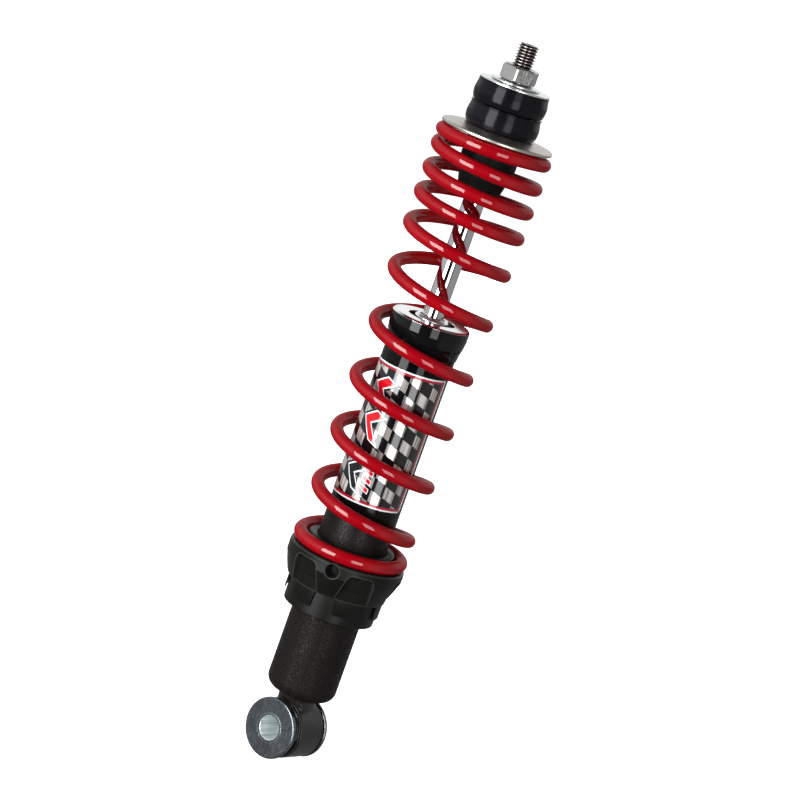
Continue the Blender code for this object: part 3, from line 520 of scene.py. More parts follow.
def label_print(low, high, left, right):
    """Chequered metallised film with a border, three plain chevrons and some dashes."""
    paint = Paint("label_film")
    front = math.radians(FRONT_DEG)
    x, y = paint.axis("X"), paint.axis("Y")
    cos, sin = math.cos(front), math.sin(front)
    along = paint.add(paint.times(x, cos), paint.times(y, sin))
    across = paint.add(paint.times(x, -sin), paint.times(y, cos))
    arc = paint.times(paint.math("ARCTAN2", across, along), LABEL_RADIUS)
    z = paint.times(paint.axis("Z"), 1000.0)
    slanted = paint.add(z, paint.times(arc, CELL_SLOPE))

    def inside(value, low_edge, high_edge):
        """How far a value is inside a range, negative outside it."""
        return paint.least(paint.minus(value, low_edge), paint.minus(high_edge, value))

    def over(value, limit):
        return paint.math("GREATER_THAN", value, limit)

    def chevron(middle, half, arm):
        """How far a point is inside a plain chevron that points left."""
        run = paint.add(arc, -SHAPE_MIDDLE)
        rise = paint.minus(slanted, middle + CELL_SLOPE * SHAPE_MIDDLE)
        bend = paint.minus(run, paint.times(paint.math("ABSOLUTE", rise), 0.95))
        inner = paint.times(inside(bend, -6.6, arm - 6.6), 0.72)
        inner = paint.least(inner, inside(rise, -half, half))
        return paint.least(inner, paint.minus(7.0, run))

    column = paint.math("DIVIDE", arc, CELL)
    row = paint.math("DIVIDE", paint.minus(slanted, CELL_ROW_Z), CELL_ROW)
    parity = paint.add(paint.math("FLOOR", column), paint.math("FLOOR", row))
    foil = paint.minus(1.0, over(paint.math("PINGPONG", parity, 1.0), 0.5))

    def off_centre(share):
        return paint.math("ABSOLUTE", paint.minus(paint.math("FRACT", share), 0.5))

    line = paint.most(over(off_centre(row), 0.466), over(off_centre(column), 0.485))
    foil = paint.times(foil, paint.minus(1.0, line))

    silver, ink = (0.90, 0.88, 0.85), (0.004, 0.004, 0.005)
    red, white, dark_red = (0.55, 0.003, 0.010), (0.80, 0.82, 0.86), (0.36, 0.008, 0.020)
    streak = paint.spread(paint.noise(1.0, 3.0, 0.6, paint.scaled(700.0, 700.0, 8.0)), 0.38, 0.6)
    colour = paint.mix(foil, ink, paint.mix(streak, (0.27, 0.23, 0.21), silver))
    metal = paint.times(foil, 0.62)

    def layer(mask, shade):
        nonlocal colour, metal
        colour = paint.mix(mask, colour, shade)
        metal = paint.times(metal, paint.minus(1.0, mask))

    arrows = paint.most(chevron(184.3, 6.8, 5.2), chevron(166.2, 7.4, 5.0))
    for limit, shade in ((-1.3, ink), (-0.5, white), (0.15, red)):
        layer(over(arrows, limit), shade)
    last = chevron(140.0, 7.2, 6.0)
    for limit, shade in ((-1.0, ink), (-0.2, white), (0.45, ink)):
        layer(over(last, limit), shade)
    dash = paint.math("PINGPONG", paint.minus(slanted, 131.0), 2.2)
    dash = paint.least(paint.minus(dash, 1.2), inside(slanted, 131.0, 144.2))
    dash = paint.least(dash, inside(arc, -6.2, -1.6))
    for limit, shade in ((-0.35, white), (0.0, red)):
        layer(over(dash, limit), shade)

    edge_side = inside(arc, left, right)
    edge_end = inside(z, low, high)
    for side, end, shade in ((4.2, 2.2, ink), (2.6, 2.0, dark_red), (1.1, 0.8, white)):
        near_side = paint.math("LESS_THAN", edge_side, side)
        layer(paint.most(near_side, paint.math("LESS_THAN", edge_end, end)), shade)
    brushed = paint.noise(1.0, 2.0, 0.5, paint.scaled(3000.0, 3000.0, 40.0))
    wear = paint.noise(120.0, 3.0, 0.6)
    paint.set(
        base_color=colour,
        metallic=metal,
        roughness=paint.spread(wear, 0.3, 0.75, 0.08, 0.16),
        coat_weight=0.5,
        coat_roughness=0.05,
        normal=paint.bump(brushed, 0.12, 0.00005),
    )
    return paint.material


RED = red_powder()
CHROME = chrome_plate()
THREAD = thread_steel()
NUT_ZINC = plated_metal("nut_zinc", (0.55, 0.55, 0.535), (0.47, 0.47, 0.455), 0.23, 1500.0, 0.02)
WASHER_ZINC = turned_metal("washer_zinc", (0.90, 0.93, 0.93), (0.83, 0.85, 0.85), 0.27)
EYE_ZINC = plated_metal("eye_zinc", (0.25, 0.27, 0.30), (0.165, 0.19, 0.215), 0.25, 1500.0, 0.16)
# The bore's near-white colour and its darker streaks are partly painted reflection.
SLEEVE_ZINC = drawn_tube("sleeve_zinc", (0.98, 1.0, 1.0), (0.42, 0.53, 0.55), 0.14, 0.3)
SEAT_PLATE = turned_metal("seat_plate", (0.58, 0.555, 0.51), (0.52, 0.50, 0.46), 0.34)
MACHINED = turned_metal("machined_face", (0.82, 0.82, 0.83), (0.76, 0.76, 0.78), 0.12, depth=0.05)
ANODISED = moulded("black_anodised", (0.004, 0.004, 0.0045), 0.05, 2200.0, 0.02, 0.2, 0.24)
CUSHION_RUBBER = moulded("cushion_rubber", (0.0055, 0.005, 0.0068), 0.15, 1300.0, 0.06, 0.35, 0.12)
BUMP_RUBBER = moulded("bump_rubber", (0.005, 0.0055, 0.005), 0.5, 800.0, 0.2, 0.3, 0.15)
EYE_RUBBER = moulded("eye_rubber_skin", (0.004, 0.004, 0.004), 0.18, 700.0, 0.12, 0.3, 0.5)
# The collar's last colour is a painted edge highlight.
COLLAR_BLACK = moulded(
    "collar_black", (0.0055, 0.0055, 0.005), 0.36, 1000.0, 0.1, 0.3, 0.15, (0.034, 0.034, 0.031)
)
# The tube coat's last number is the strength of its painted glints.
TUBE_COAT = textured_coat(
    "tube_coat", (0.0022, 0.0022, 0.0022), (0.0042, 0.0031, 0.0026), 0.1, 0.09, 1.0, 0.17, 0.03
)
EYE_BLACK, WELD_BLACK = (0.009, 0.0075, 0.0065), (0.004, 0.004, 0.004)
EYE_COAT = textured_coat("eye_coat", EYE_BLACK, EYE_BLACK, 0.02, 0.26, 0.3)
WELD = textured_coat("weld_coat", WELD_BLACK, WELD_BLACK, 0.0, 0.14, 0.2)
BRONZE = turned_metal("bush_bronze", (0.50, 0.33, 0.16), (0.42, 0.27, 0.13), 0.34)
ALUMINIUM = turned_metal("turned_aluminium", (0.78, 0.78, 0.80), (0.70, 0.70, 0.73), 0.3)
SPRING_STEEL = plated_metal("spring_steel", (0.45, 0.45, 0.46), (0.36, 0.36, 0.38), 0.3)
GLIDE = moulded("glide_band", (0.05, 0.035, 0.025), 0.5)


# ---- spring

WIRE = 3.4  # radius of the wire
COIL = 26.6  # radius of the coil's centre line
FIRST_TURN, LAST_TURN = -0.25, 10.46
STEPS_PER_TURN = 120
WIRE_SIDES = 32
TRAVEL = 64.0  # how far the rod goes in
COIL_GAP = 0.35  # left between closed turns


def pitch_at(turn):
    """Fall of the coil per turn, before it is fitted to the height of the CAD spring."""
    narrow, wide = 12.5, 29.0
    pitch = narrow + (wide - narrow) * smooth_step((turn - 2.35) / 3.15)
    return pitch * smooth_step((turn - 0.08) / 0.15) * (1.0 - smooth_step((turn - 9.49) / 0.4))


def spring_wire():
    """Wire whose turns close by equal amounts until their room is used up.

    Each ring of the wire gets a weight, its share of the travel, so that the narrow turns are shut
    at full travel and every turn closes in proportion before that; the weights are worked out but
    not put on the mesh.
    """
    low, high = z_span("coil_spring")
    top, bottom = high - WIRE, low + WIRE
    steps = (LAST_TURN - FIRST_TURN) * STEPS_PER_TURN
    fine = np.linspace(FIRST_TURN, LAST_TURN, int(steps * 6) + 1)
    step = fine[1] - fine[0]
    pitch = pitch_at(fine[:-1] + step / 2)
    fall = np.concatenate([[0.0], np.cumsum(pitch * step)])
    scale = (top - bottom) / fall[-1]
    spare = np.maximum(pitch * scale - 2 * WIRE - COIL_GAP, 0.0)
    close = 1.0
    for _ in range(60):
        total = float(np.sum(np.minimum(close, spare)) * step)
        close *= TRAVEL / max(total, 1e-6)
    closing = np.concatenate([[0.0], np.cumsum(np.minimum(close, spare) * step)])
    closing /= closing[-1]
    turns = np.linspace(FIRST_TURN, LAST_TURN, int(steps) + 1)
    height = top - scale * np.interp(turns, fine, fall)
    follow = 1.0 - np.interp(turns, fine, closing)
    angle = math.radians(FRONT_DEG) + TAU * turns
    outward = np.stack([np.cos(angle), np.sin(angle), np.zeros_like(angle)], -1)
    centre = outward * COIL
    centre[:, 2] = height
    tangent = np.gradient(centre, axis=0)
    tangent /= np.linalg.norm(tangent, axis=1)[:, None]
    across = np.cross(outward, tangent)
    around = np.arange(WIRE_SIDES) * TAU / WIRE_SIDES
    chamfer = 0.5

    def ring(index, radius, push):
        base = centre[index] + tangent[index] * push
        out, over = outward[index], across[index]
        return [base + radius * (math.cos(a) * out + math.sin(a) * over) for a in around]

    rings = [ring(0, 0.0, 0.0)[:1], ring(0, WIRE - chamfer, 0.0), ring(0, WIRE, chamfer)]
    last = len(turns) - 1
    rings += [ring(index, WIRE, 0.0) for index in range(1, last)]
    rings += [ring(last, WIRE, -chamfer), ring(last, WIRE - chamfer, 0.0)]
    rings.append(ring(last, 0.0, 0.0)[:1])
    weights = [follow[0]] * 3 + list(follow[1:last]) + [follow[last]] * 3
    verts, values = [], []
    for section, weight in zip(rings, weights):
        verts.extend(section)
        values.extend([weight] * len(section))
    faces = grid_faces(len(rings) - 2, WIRE_SIDES, False, True, 1)
    end = len(verts) - 1
    for side in range(WIRE_SIDES):
        after = (side + 1) % WIRE_SIDES
        faces.append((0, after + 1, side + 1))
        faces.append((end, end - WIRE_SIDES + side, end - WIRE_SIDES + after))
    piece = new_object("spring_wire", np.array(verts) * MM, faces, 50.0)
    two_tone(piece, RED, SPRING_STEEL, lambda polygon: len(polygon.vertices) == 3)
    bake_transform(piece)
    finish(piece, None, "red_coat", None, "coil_spring")


spring_wire()

# ---- rod

ROD = 5.5  # radius of the rod
STUD = 5.0  # radius of the stud
SHOULDER_DEPTH = 3.7  # from the seat's top down to the rod's shoulder


def rod_shaft():
    low, _ = z_span("piston_rod")
    seat = z_span("spring_seat")[1] - SHOULDER_DEPTH
    shoulder = z_span("piston")[1] + 1.6
    outline = [
        (0.0, low), (4.0, low, 0.5), (4.0, shoulder), (ROD, shoulder, 0.3), (ROD, seat, 0.5),
        (0.0, seat),
    ]
    turned("rod_shaft", "rod", "chrome", CHROME, "piston_rod", outline, 96)


def stud_thread():
    """Rolled M10 thread with a chamfered, centre-drilled end."""
    low = z_span("spring_seat")[1] - SHOULDER_DEPTH
    high = z_span("piston_rod")[1]
    start = z_span("cushion_spacer")[1] - 0.9
    pitch, depth, row_step = 1.5, 0.92, 0.1
    rows = np.arange(start + row_step, high - 0.02, row_step)
    rows = np.concatenate([[low, start], rows, [high]])
    outline = [(0.0, low)] + [(STUD, row) for row in rows]
    outline += [(2.0, high), (1.6, high - 0.3), (0.0, high - 1.3)]

    def warp(radius, angle, height):
        phase = (height / pitch - angle / TAU) % 1.0
        crest = np.abs(phase - 0.5) * 2.0
        groove = smooth_step((0.86 - crest) / 0.74)
        fade = smooth_step((height - start) / 1.2)
        on_side = radius == STUD
        cut = radius - depth * groove * fade
        cut = np.minimum(cut, STUD - 0.55 + (high - height) * 1.1)
        return np.where(on_side, cut, radius), angle, height

    piece = lathe("stud_thread", outline, 72, warp=warp)
    piece.modifiers.clear()
    finish(piece, "rod", "chrome", THREAD, "piston_rod")


def stud_nut():
    """Hexagon nut with chamfered ends, rounded corners and a countersunk bore."""
    low, high = z_span("stud_nut")
    flats, corner_limit, face_radius, edge = 17.0, 9.7, 8.15, 0.22
    start = math.radians(FRONT_DEG - 8.6)
    tall = high - low
    outline = [(5.15, low + 0.7), (5.9, low), (8.1, low)]
    shares = (0.0, 0.04, 0.09, 0.3, 0.7, 0.91, 0.96, 1.0)
    outline += [(-1.0, low + tall * share) for share in shares]
    outline += [(8.1, high), (5.9, high), (5.15, high - 0.7)]

    def warp(radius, angle, height):
        sector = (angle - start) % (TAU / 6) - TAU / 12
        face = 0.5 * flats / np.cos(sector)
        soft = np.minimum(face, corner_limit)
        drop = np.maximum(soft - face_radius, 0.0) * math.tan(math.radians(30.0))
        side = radius < 0.0
        share = np.clip((height - low) / tall, 0.0, 1.0)
        pull = np.where((share < 0.01) | (share > 0.99), edge, 0.0)
        new_height = np.where(side, low + drop + (tall - 2 * drop) * share, height)
        return np.where(side, soft - pull, radius), angle, new_height

    piece = lathe("hex_nut", outline, 144, warp=warp)
    finish(piece, "rod", "zinc_plate", NUT_ZINC, "stud_nut")


def round_washer(name, node, edge):
    low, high = z_span(node)
    inner, outer = 5.3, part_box(node)[1].x / MM
    outline = [(inner, low, 0.15), (outer, low, edge), (outer, high, edge), (inner, high, 0.15)]
    turned(name, "rod", "bright_steel", WASHER_ZINC, node, outline, 144)


def cushion(name, node):
    """Barrel-shaped rubber with thin moulded lips and a parting line."""
    low, high = z_span(node)
    upper = node == "upper_cushion"
    if not upper:
        high = z_span("upper_cushion")[0] - 0.3
    middle = low + 0.5 * (high - low)
    if upper:
        outline = [(7.8, low + 3.0), (10.3, low + 3.0), (10.3, low), (17.75, low, 1.3)]
        outline += [(18.55, low + 2.6, 4.0), (18.85, middle, 9.0), (17.9, high - 0.75, 0.3)]
        outline += [(18.1, high - 0.5, 0.1), (18.1, high, 0.15), (7.8, high)]
    else:
        outline = [(7.8, low), (17.5, low, 1.2), (18.45, low + 2.4, 4.0), (18.75, middle, 9.0)]
        outline += [(17.8, high - 0.8, 0.3), (18.25, high - 0.5, 0.1), (18.25, high, 0.12)]
        outline += [(10.0, high), (10.0, high + 3.0), (7.8, high + 3.0)]
    turned(name, "rod", "moulded_rubber", CUSHION_RUBBER, node, outline, 144, 8)


def spring_seat():
    """Dished plate: raised crown, cone and a flat rolled rim."""
    low, high = z_span("spring_seat")
    rise, thick = 1.5, 1.9
    outline = [
        (5.3, low + rise), (18.2, low + rise, 1.0), (25.6, low, 0.8), (28.5, low, 0.75),
        (28.5, low + thick, 0.75), (26.0, low + thick, 0.4), (18.5, high, 1.2),
        (5.3, high, 0.2),
    ]
    turned("seat_plate", "rod", "satin_plate", SEAT_PLATE, "spring_seat", outline, 192, 6)


def bump_stop():
    low, high = z_span("bump_stop")
    outline = [
        (5.8, low, 0.4), (9.2, low, 0.9), (10.5, low + 1.4, 1.0), (11.3, low + 4.2, 0.6),
        (14.2, low + 16.3, 1.5), (14.2, high, 0.8), (5.8, high),
    ]
    turned("bump_rubber", "rod", "moulded_rubber", BUMP_RUBBER, "bump_stop", outline, 96)


rod_shaft()
stud_thread()
stud_nut()
round_washer("cup_washer_plate", "cup_washer", 0.35)
round_washer("plain_washer_plate", "plain_washer", 0.3)
cushion("upper_rubber", "upper_cushion")
cushion("lower_rubber", "lower_cushion")
spring_seat()
bump_stop()

# ---- damper

TUBE = 18.0  # radius of the tube
GLAND = 20.2  # radius of the gland


def gland():
    """Black gland with a machined top face, a recess round the rod and four spanner holes."""
    low, high = z_span("gland_cap")
    tube_top = z_span("damper_tube")[1]
    step = tube_top + 4.1
    outline = [
        (6.4, low), (16.0, low, 0.4), (16.0, tube_top + 0.3), (TUBE + 0.1, tube_top + 0.3),
        (TUBE + 0.1, tube_top - 2.1), (TUBE + 0.4, tube_top - 1.6, 0.6),
        (19.0, step - 1.4, 1.5), (19.55, step + 0.3, 1.2), (GLAND, step + 5.0, 1.2),
        (GLAND, high - 0.9, 0.12), (19.3, high, 0.12), (12.1, high, 0.3),
        (11.7, high - 2.0, 0.3), (9.2, high - 2.0), (9.2, tube_top - 2.7),
        (8.2, tube_top - 2.7), (8.2, low + 2.0), (6.4, low + 2.0),
    ]
    dense = []
    smooth = rounded(outline)
    for here, after in zip(smooth, smooth[1:] + smooth[:1]):
        long_side = min(here[0], after[0]) > 19.0 and abs(after[1] - here[1]) > 2.0
        cuts = 8 if long_side else 1
        here, after = np.array(here), np.array(after)
        dense += [tuple(here + (after - here) * share / cuts) for share in range(cuts)]

    def stake(radius, angle, height):
        """Raise the small staked lump at the gland's edge."""
        to_lump = (angle - math.radians(FRONT_DEG + 67.0) + math.pi) % TAU - math.pi
        shape = np.exp(-((to_lump * 20.0 / 0.9) ** 2) - ((height - step - 0.3) / 0.8) ** 2)
        return radius + 0.8 * shape * (radius > 18.05), angle, height

    piece = lathe("gland_body", dense, 216, warp=stake)

    def machined(polygon):
        centre = polygon.center / MM
        return centre.z > high - 0.95 and math.hypot(centre.x, centre.y) > 12.0

    two_tone(piece, ANODISED, MACHINED, machined)
    for count in range(4):
        degrees = FRONT_DEG + 56.0 + 90.0 * count
        tool = lathe("spanner_hole_tool", [(0.0, 0.0), (1.45, 0.3), (1.6, 6.0), (0.0, 6.0)], 24)
        turn = Matrix.Rotation(math.radians(degrees), 4, "Z")
        tip = Matrix.Translation(((GLAND - 3.0) * MM, 0.0, (step - 1.4) * MM))
        tool.matrix_world = turn @ tip @ Matrix.Rotation(math.pi / 2, 4, "Y")
        cut(piece, tool)
    finish(piece, "damper", "black_anodised", None, "gland_cap")


def cut(piece, tool):
    """Cut a tool out of a piece for good, then drop the tool."""
    bpy.context.view_layer.update()
    piece.modifiers.clear()
    modifier = piece.modifiers.new("Cut", "BOOLEAN")
    modifier.operation = "DIFFERENCE"
    modifier.solver = "EXACT"
    modifier.object = tool
    graph = bpy.context.evaluated_depsgraph_get()
    mesh = bpy.data.meshes.new_from_object(piece.evaluated_get(graph))
    piece.modifiers.clear()
    piece.data = mesh
    mesh.shade_smooth()
    mesh.set_sharp_from_angle(angle=math.radians(SHARP_DEG))
    bpy.data.objects.remove(tool, do_unlink=True)
    even_normals(piece)


def wiper():
    """Bright pressed case of the wiper with a rubber lip on the rod."""
    low, high = z_span("rod_wiper")
    case = [
        (6.7, low), (8.9, low, 0.3), (8.9, high - 1.5, 0.9), (8.1, high - 0.45, 0.5),
        (6.9, high - 0.1, 0.35), (6.7, high - 0.8, 0.15),
    ]
    lip = [
        (5.75, low + 0.3), (6.5, low + 0.3, 0.2), (6.5, high - 0.7, 0.3),
        (5.75, high - 0.2, 0.2),
    ]
    turned("wiper_case", "damper", "bright_steel", WASHER_ZINC, "rod_wiper", case, 96)
    turned("wiper_lip", "damper", "moulded_rubber", BUMP_RUBBER, "rod_wiper", lip, 96)


def tube():
    low, high = z_span("damper_tube")
    clip = 0.5 * sum(z_span("retaining_clip"))
    floor = low + 5.0
    outline = [
        (0.0, low), (TUBE, low, 6.0), (TUBE, clip - 1.0), (TUBE - 0.4, clip - 1.0),
        (TUBE - 0.4, clip + 1.0), (TUBE, clip + 1.0), (TUBE, high, 0.3), (16.3, high, 0.3),
        (16.3, floor, 3.0), (0.0, floor),
    ]
    turned("tube_body", "damper", "black_coat", TUBE_COAT, "damper_tube", outline, 144, 10)


def label():
    """Thin film wrapped on the tube, with two rounded corners at its right edge."""
    low, high = z_span("label")
    start, end = LABEL_START_DEG, LABEL_END_DEG
    columns, rows = 160, 24
    left, right = (math.radians(degrees) * LABEL_RADIUS for degrees in (start, end))

    def corner_cut(radius, room):
        """What a rounded corner takes off the height, this far from the right edge."""
        return radius - math.sqrt(max(radius**2 - max(radius - room, 0.0) ** 2, 0.0))

    verts, faces = [], []
    for radius in (LABEL_RADIUS - 0.15, LABEL_RADIUS):
        for column in range(columns + 1):
            degrees = start + (end - start) * (1.0 - (1.0 - column / columns) ** 1.6)
            arc = math.radians(degrees) * LABEL_RADIUS
            cut_low, cut_high = corner_cut(2.6, right - arc), corner_cut(1.0, right - arc)
            for row in range(rows + 1):
                height = low + cut_low + (high - cut_high - low - cut_low) * row / rows
                verts.append(polar(radius, FRONT_DEG + degrees, height))
    across = rows + 1
    sheet = (columns + 1) * across
    for a, b, c, d in grid_faces(columns + 1, across, False, False):
        faces.append((sheet + a, sheet + d, sheet + c, sheet + b))
        faces.append((a, b, c, d))
    rim = list(range(0, sheet, across))
    rim += [columns * across + row for row in range(1, rows + 1)]
    rim += [column * across + rows for column in reversed(range(columns))]
    rim += reversed(range(1, rows))
    for here, following in zip(rim, rim[1:] + rim[:1]):
        faces.append((here, following, sheet + following, sheet + here))
    piece = new_object("label_sheet", np.array(verts) * MM, faces, 50.0)
    film = label_print(low, high, left, right)
    finish(piece, "damper", "label_film", film, "label")


def clip_ring():
    low, high = z_span("retaining_clip")
    wire = 0.6
    reach, middle = TUBE - 0.4 + 0.3 + wire, 0.5 * (low + high)
    angles = [TAU * side / 12 for side in range(12)]
    sections = []
    for step in range(97):
        degrees = 20.0 + 330.0 * step / 96
        section = [(reach + wire * math.cos(a), middle + wire * math.sin(a)) for a in angles]
        sections.append([polar(radius, degrees, height) for radius, height in section])
    piece = blocks("clip_wire", [sections])
    finish(piece, "damper", "bright_steel", SPRING_STEEL, "retaining_clip")


gland()
wiper()
tube()
label()
clip_ring()

# ---- lower eye


def eye_parts():
    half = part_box("eye_sleeve")[1].y / MM
    ring_front, ring_back = (value.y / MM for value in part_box("eye_ring"))
    ring_radius = 15.5
    sleeve = [
        (6.1, -half + 0.35), (6.4, -half, 0.08), (7.55, -half, 0.12), (7.55, half, 0.12),
        (6.4, half, 0.08), (6.1, half - 0.35),
    ]
    piece = lathe("sleeve_tube", rounded(sleeve), 128, along_y=True)
    two_tone(piece, SLEEVE_ZINC, EYE_ZINC, lambda polygon: abs(polygon.normal.y) > 0.9)
    finish(piece, "eye_bush", "zinc_plate", None, "eye_sleeve")
    for name in ("washer_front", "washer_back"):
        node = "eye_" + name
        low, high = (value.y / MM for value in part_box(node))
        outline = [(7.7, low, 0.1), (15.75, low, 0.7), (15.75, high, 0.7), (7.7, high, 0.1)]
        turned(name, "eye_bush", "zinc_plate", EYE_ZINC, node, outline, 144, 6, True)
    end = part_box("eye_rubber")[1].y / MM
    lip, back_lip = ring_front - 0.3, ring_back + 0.3
    rubber = [
        (7.8, -end), (14.6, -end, 0.3), (14.9, -end + 0.9, 0.5), (14.2, -end + 1.5, 0.5),
        (14.3, lip - 1.9, 0.5), (15.3, lip - 1.3, 0.5), (15.3, lip - 0.3, 0.5),
        (14.6, lip, 0.2), (11.2, lip), (11.2, back_lip), (14.6, back_lip, 0.1),
        (14.6, end, 0.1), (7.8, end),
    ]
    slot = "moulded_rubber"
    turned("eye_bush_rubber", "damper", slot, EYE_RUBBER, "eye_rubber", rubber, 144, 4, True)
    ring = [
        (11.5, ring_front, 0.3), (ring_radius, ring_front, 0.9), (ring_radius, ring_back, 0.9),
        (11.5, ring_back, 0.3),
    ]
    turned("eye_forging", "damper", "black_coat", EYE_COAT, "eye_ring", ring, 144, 6, True)


def neck():
    """Neck between the ring and the tube, with its weld bead under the tube's floor."""
    top = z_span("damper_tube")[0]
    half_width = 6.6

    def flatten(radius, angle, height):
        x, y = radius * np.cos(angle), radius * np.sin(angle)
        share = smooth_step((height - 13.0) / (top - 13.0))
        limit = half_width + 1.8 * share
        y = limit * np.tanh(y / limit * 1.25) / math.tanh(1.25 * 9.3 / half_width)
        return np.hypot(x, y), np.arctan2(y, x), height

    outline = [(0.0, 11.0), (9.6, 11.0), (9.2, 14.0, 2.0), (9.3, 17.0, 2.0)]
    outline += [(10.4, top, 0.2), (0.0, top)]
    piece = lathe("eye_neck", rounded(outline, 8), 96, warp=flatten)
    finish(piece, "damper", "black_coat", EYE_COAT, "eye_ring")

    def bead(radius, angle, height):
        ripple = 0.16 * np.sin(angle * 34.0 + 1.5 * np.sin(angle * 3.0))
        ripple += 0.1 * np.sin(angle * 13.0)
        flat = 1.0 - 0.16 * np.sin(angle) ** 2
        return (radius + ripple) * flat, angle, height + 0.4 * ripple

    angles = [TAU * side / 16 for side in range(16)]
    section = [(10.0 + 1.25 * math.cos(a), top - 0.35 + math.sin(a)) for a in angles]
    piece = lathe("neck_weld", section, 192, warp=bead)
    finish(piece, "damper", "black_coat", WELD, "eye_ring")


eye_parts()
neck()

# ---- preload collar

CAM_PHASE = FRONT_DEG + 38.8
CAM_SPAN = 120.0  # degrees that a ramp takes
CAM_BASE = 78.4  # height of a ramp's foot
CAM_RISE = 10.0
CAM_GAP = 0.3  # between the collar's ramps and the ring's
COLLAR = 30.0  # radius of the collar
COLLAR_BOTTOM = 78.2
HOLE_DEG, HOLE_Z = FRONT_DEG - 8.8, 92.4
POCKET_DEG, POCKET_TOP = FRONT_DEG + 21.2, 93.3
POCKET_HALF_TOP, POCKET_HALF_BOTTOM = 12.6, 19.4


def collar():
    """Collar with three pin holes and six tapered pockets, shaped straight on its turned side."""
    bottom = COLLAR_BOTTOM
    top = z_span("preload_collar")[1]
    seat = top - 6.4
    ceiling = 88.7
    side = [
        (25.6, bottom), (26.0, bottom + 0.35), (26.85, 80.4), (28.3, 84.4), (29.45, 88.2),
        (COLLAR, 89.7), (COLLAR, seat - 1.0), (29.7, seat - 0.3), (29.1, seat),
    ]
    heights = [point[1] for point in side]
    radii = [point[0] for point in side]
    rows = np.arange(bottom + 0.15, seat - 0.1, 0.27)
    rows = np.concatenate([[bottom], rows, [seat - 0.05, seat]])
    outline = [(float(np.interp(row, heights, radii)), float(row)) for row in rows]
    outer_count = len(outline)
    outline += rounded(
        [
            (22.6, seat, 0.3), (22.6, top, 0.9), (18.4, top, 0.4), (18.4, ceiling),
            (23.9, ceiling), (23.9, bottom, 0.3),
        ]
    )
    pitch = math.radians(60.0)

    def pocket_depth(angle, height):
        """How far a point of the side is inside a pocket's rounded outline."""
        to_pocket = (angle - math.radians(POCKET_DEG) + pitch / 2) % pitch - pitch / 2
        wider = POCKET_HALF_BOTTOM - POCKET_HALF_TOP
        half = POCKET_HALF_TOP + (POCKET_TOP - height) * wider / (POCKET_TOP - COLLAR_BOTTOM)
        in_side = (np.radians(half) - np.abs(to_pocket)) * 28.0
        in_top = POCKET_TOP - height
        fillet = 2.4
        corner = np.hypot(np.maximum(fillet - in_side, 0.0), np.maximum(fillet - in_top, 0.0))
        return np.minimum(fillet - corner, np.minimum(in_side, in_top))

    def hole_distance(angle, height):
        to_hole = (angle - math.radians(HOLE_DEG) + pitch) % (2 * pitch) - pitch
        return np.hypot(to_hole * COLLAR, height - HOLE_Z)

    def warp(radius, angle, height):
        outer = np.zeros(radius.shape, bool)
        outer[:outer_count] = True
        inside = pocket_depth(angle, height)
        floor = np.interp(height, [78.2, 85.0, 85.7, 93.4], [25.5, 26.6, 27.2, 28.75])
        depth = np.maximum(radius - floor, 0.0) * smooth_step((inside + 0.1) / 0.95)
        ridge = 0.12 * np.exp(-(((inside + 0.25) / 0.4) ** 2)) * (radius > 26.2)
        shaped = radius - depth + ridge
        distance = hole_distance(angle, height)
        countersink = 0.45 * smooth_step((4.1 - distance) / 0.8)
        hole = 6.0 * smooth_step((3.55 - distance) / 0.4)
        shaped = shaped - countersink - hole
        return np.where(outer, shaped, radius), angle, height

    piece = lathe("collar_body", outline, 720, warp=warp)
    piece.modifiers.clear()
    spots = np.empty(len(piece.data.vertices) * 3, np.float32)
    piece.data.vertices.foreach_get("co", spots)
    spots = spots.reshape(-1, 3) / MM
    turn, height = np.arctan2(spots[:, 1], spots[:, 0]), spots[:, 2]
    # The edge attribute marks painted highlights: light lines along the pocket outlines, the
    # pin-hole rims and the top and bottom edges.
    edge = np.exp(-(((pocket_depth(turn, height) + 0.2) / 0.32) ** 2))
    for away in (
        hole_distance(turn, height) - 3.9,
        height - (seat - 0.5),
        height - bottom - 0.2,
    ):
        edge = np.maximum(edge, np.exp(-((away / 0.3) ** 2)))
    edge *= np.hypot(spots[:, 0], spots[:, 1]) > 24.5
    layer = piece.data.attributes.new("edge", "FLOAT", "POINT")
    layer.data.foreach_set("value", edge.astype(np.float32))
    finish(piece, "collar", "collar_black", COLLAR_BLACK, "preload_collar")
    tabs = []
    for index in range(6):
        middle = POCKET_DEG + 60.0 * index
        sections = []
        for step in range(17):
            share = 2.0 * step / 16 - 1.0
            squeeze = 1.0 if abs(share) < 0.99 else 0.6
            section = []
            for radius, height, half in (
                (24.1, 80.0, 17.2), (24.1, 70.3, 15.5), (24.35, 70.0, 15.4), (24.6, 70.0, 15.4),
                (24.85, 70.35, 15.5), (24.95, 80.0, 17.2),
            ):
                reach = 24.6 + (radius - 24.6) * squeeze
                section.append(polar(reach, middle + share * half, height))
            sections.append(section[::-1])
        tabs.append(sections)
    piece = blocks("collar_tabs", tabs)
    finish(piece, "collar", "collar_black", COLLAR_BLACK, "preload_collar")
    ramps("collar_ramps", "collar", 18.5, 23.95, 88.75, CAM_GAP, "preload_collar")


def ramps(name, body, inner, outer, flat, gap, node):
    """Three helical ramps: under the collar they hang from it, on the ring they stand."""
    lobes = []
    for lobe in range(3):
        start = CAM_PHASE + CAM_SPAN * lobe
        sections = []
        for step in range(25):
            share = step / 24
            degrees = start + 0.7 + (CAM_SPAN - 1.4) * share
            edge = CAM_BASE + CAM_RISE * (0.7 + (CAM_SPAN - 1.4) * share) / CAM_SPAN + gap
            low, high = sorted((edge, flat))
            section = ((inner, high), (outer, high), (outer, low), (inner, low))
            sections.append([polar(radius, degrees, height) for radius, height in section])
        lobes.append(sections)
    piece = blocks(name, lobes)
    finish(piece, body, "collar_black", COLLAR_BLACK, node)


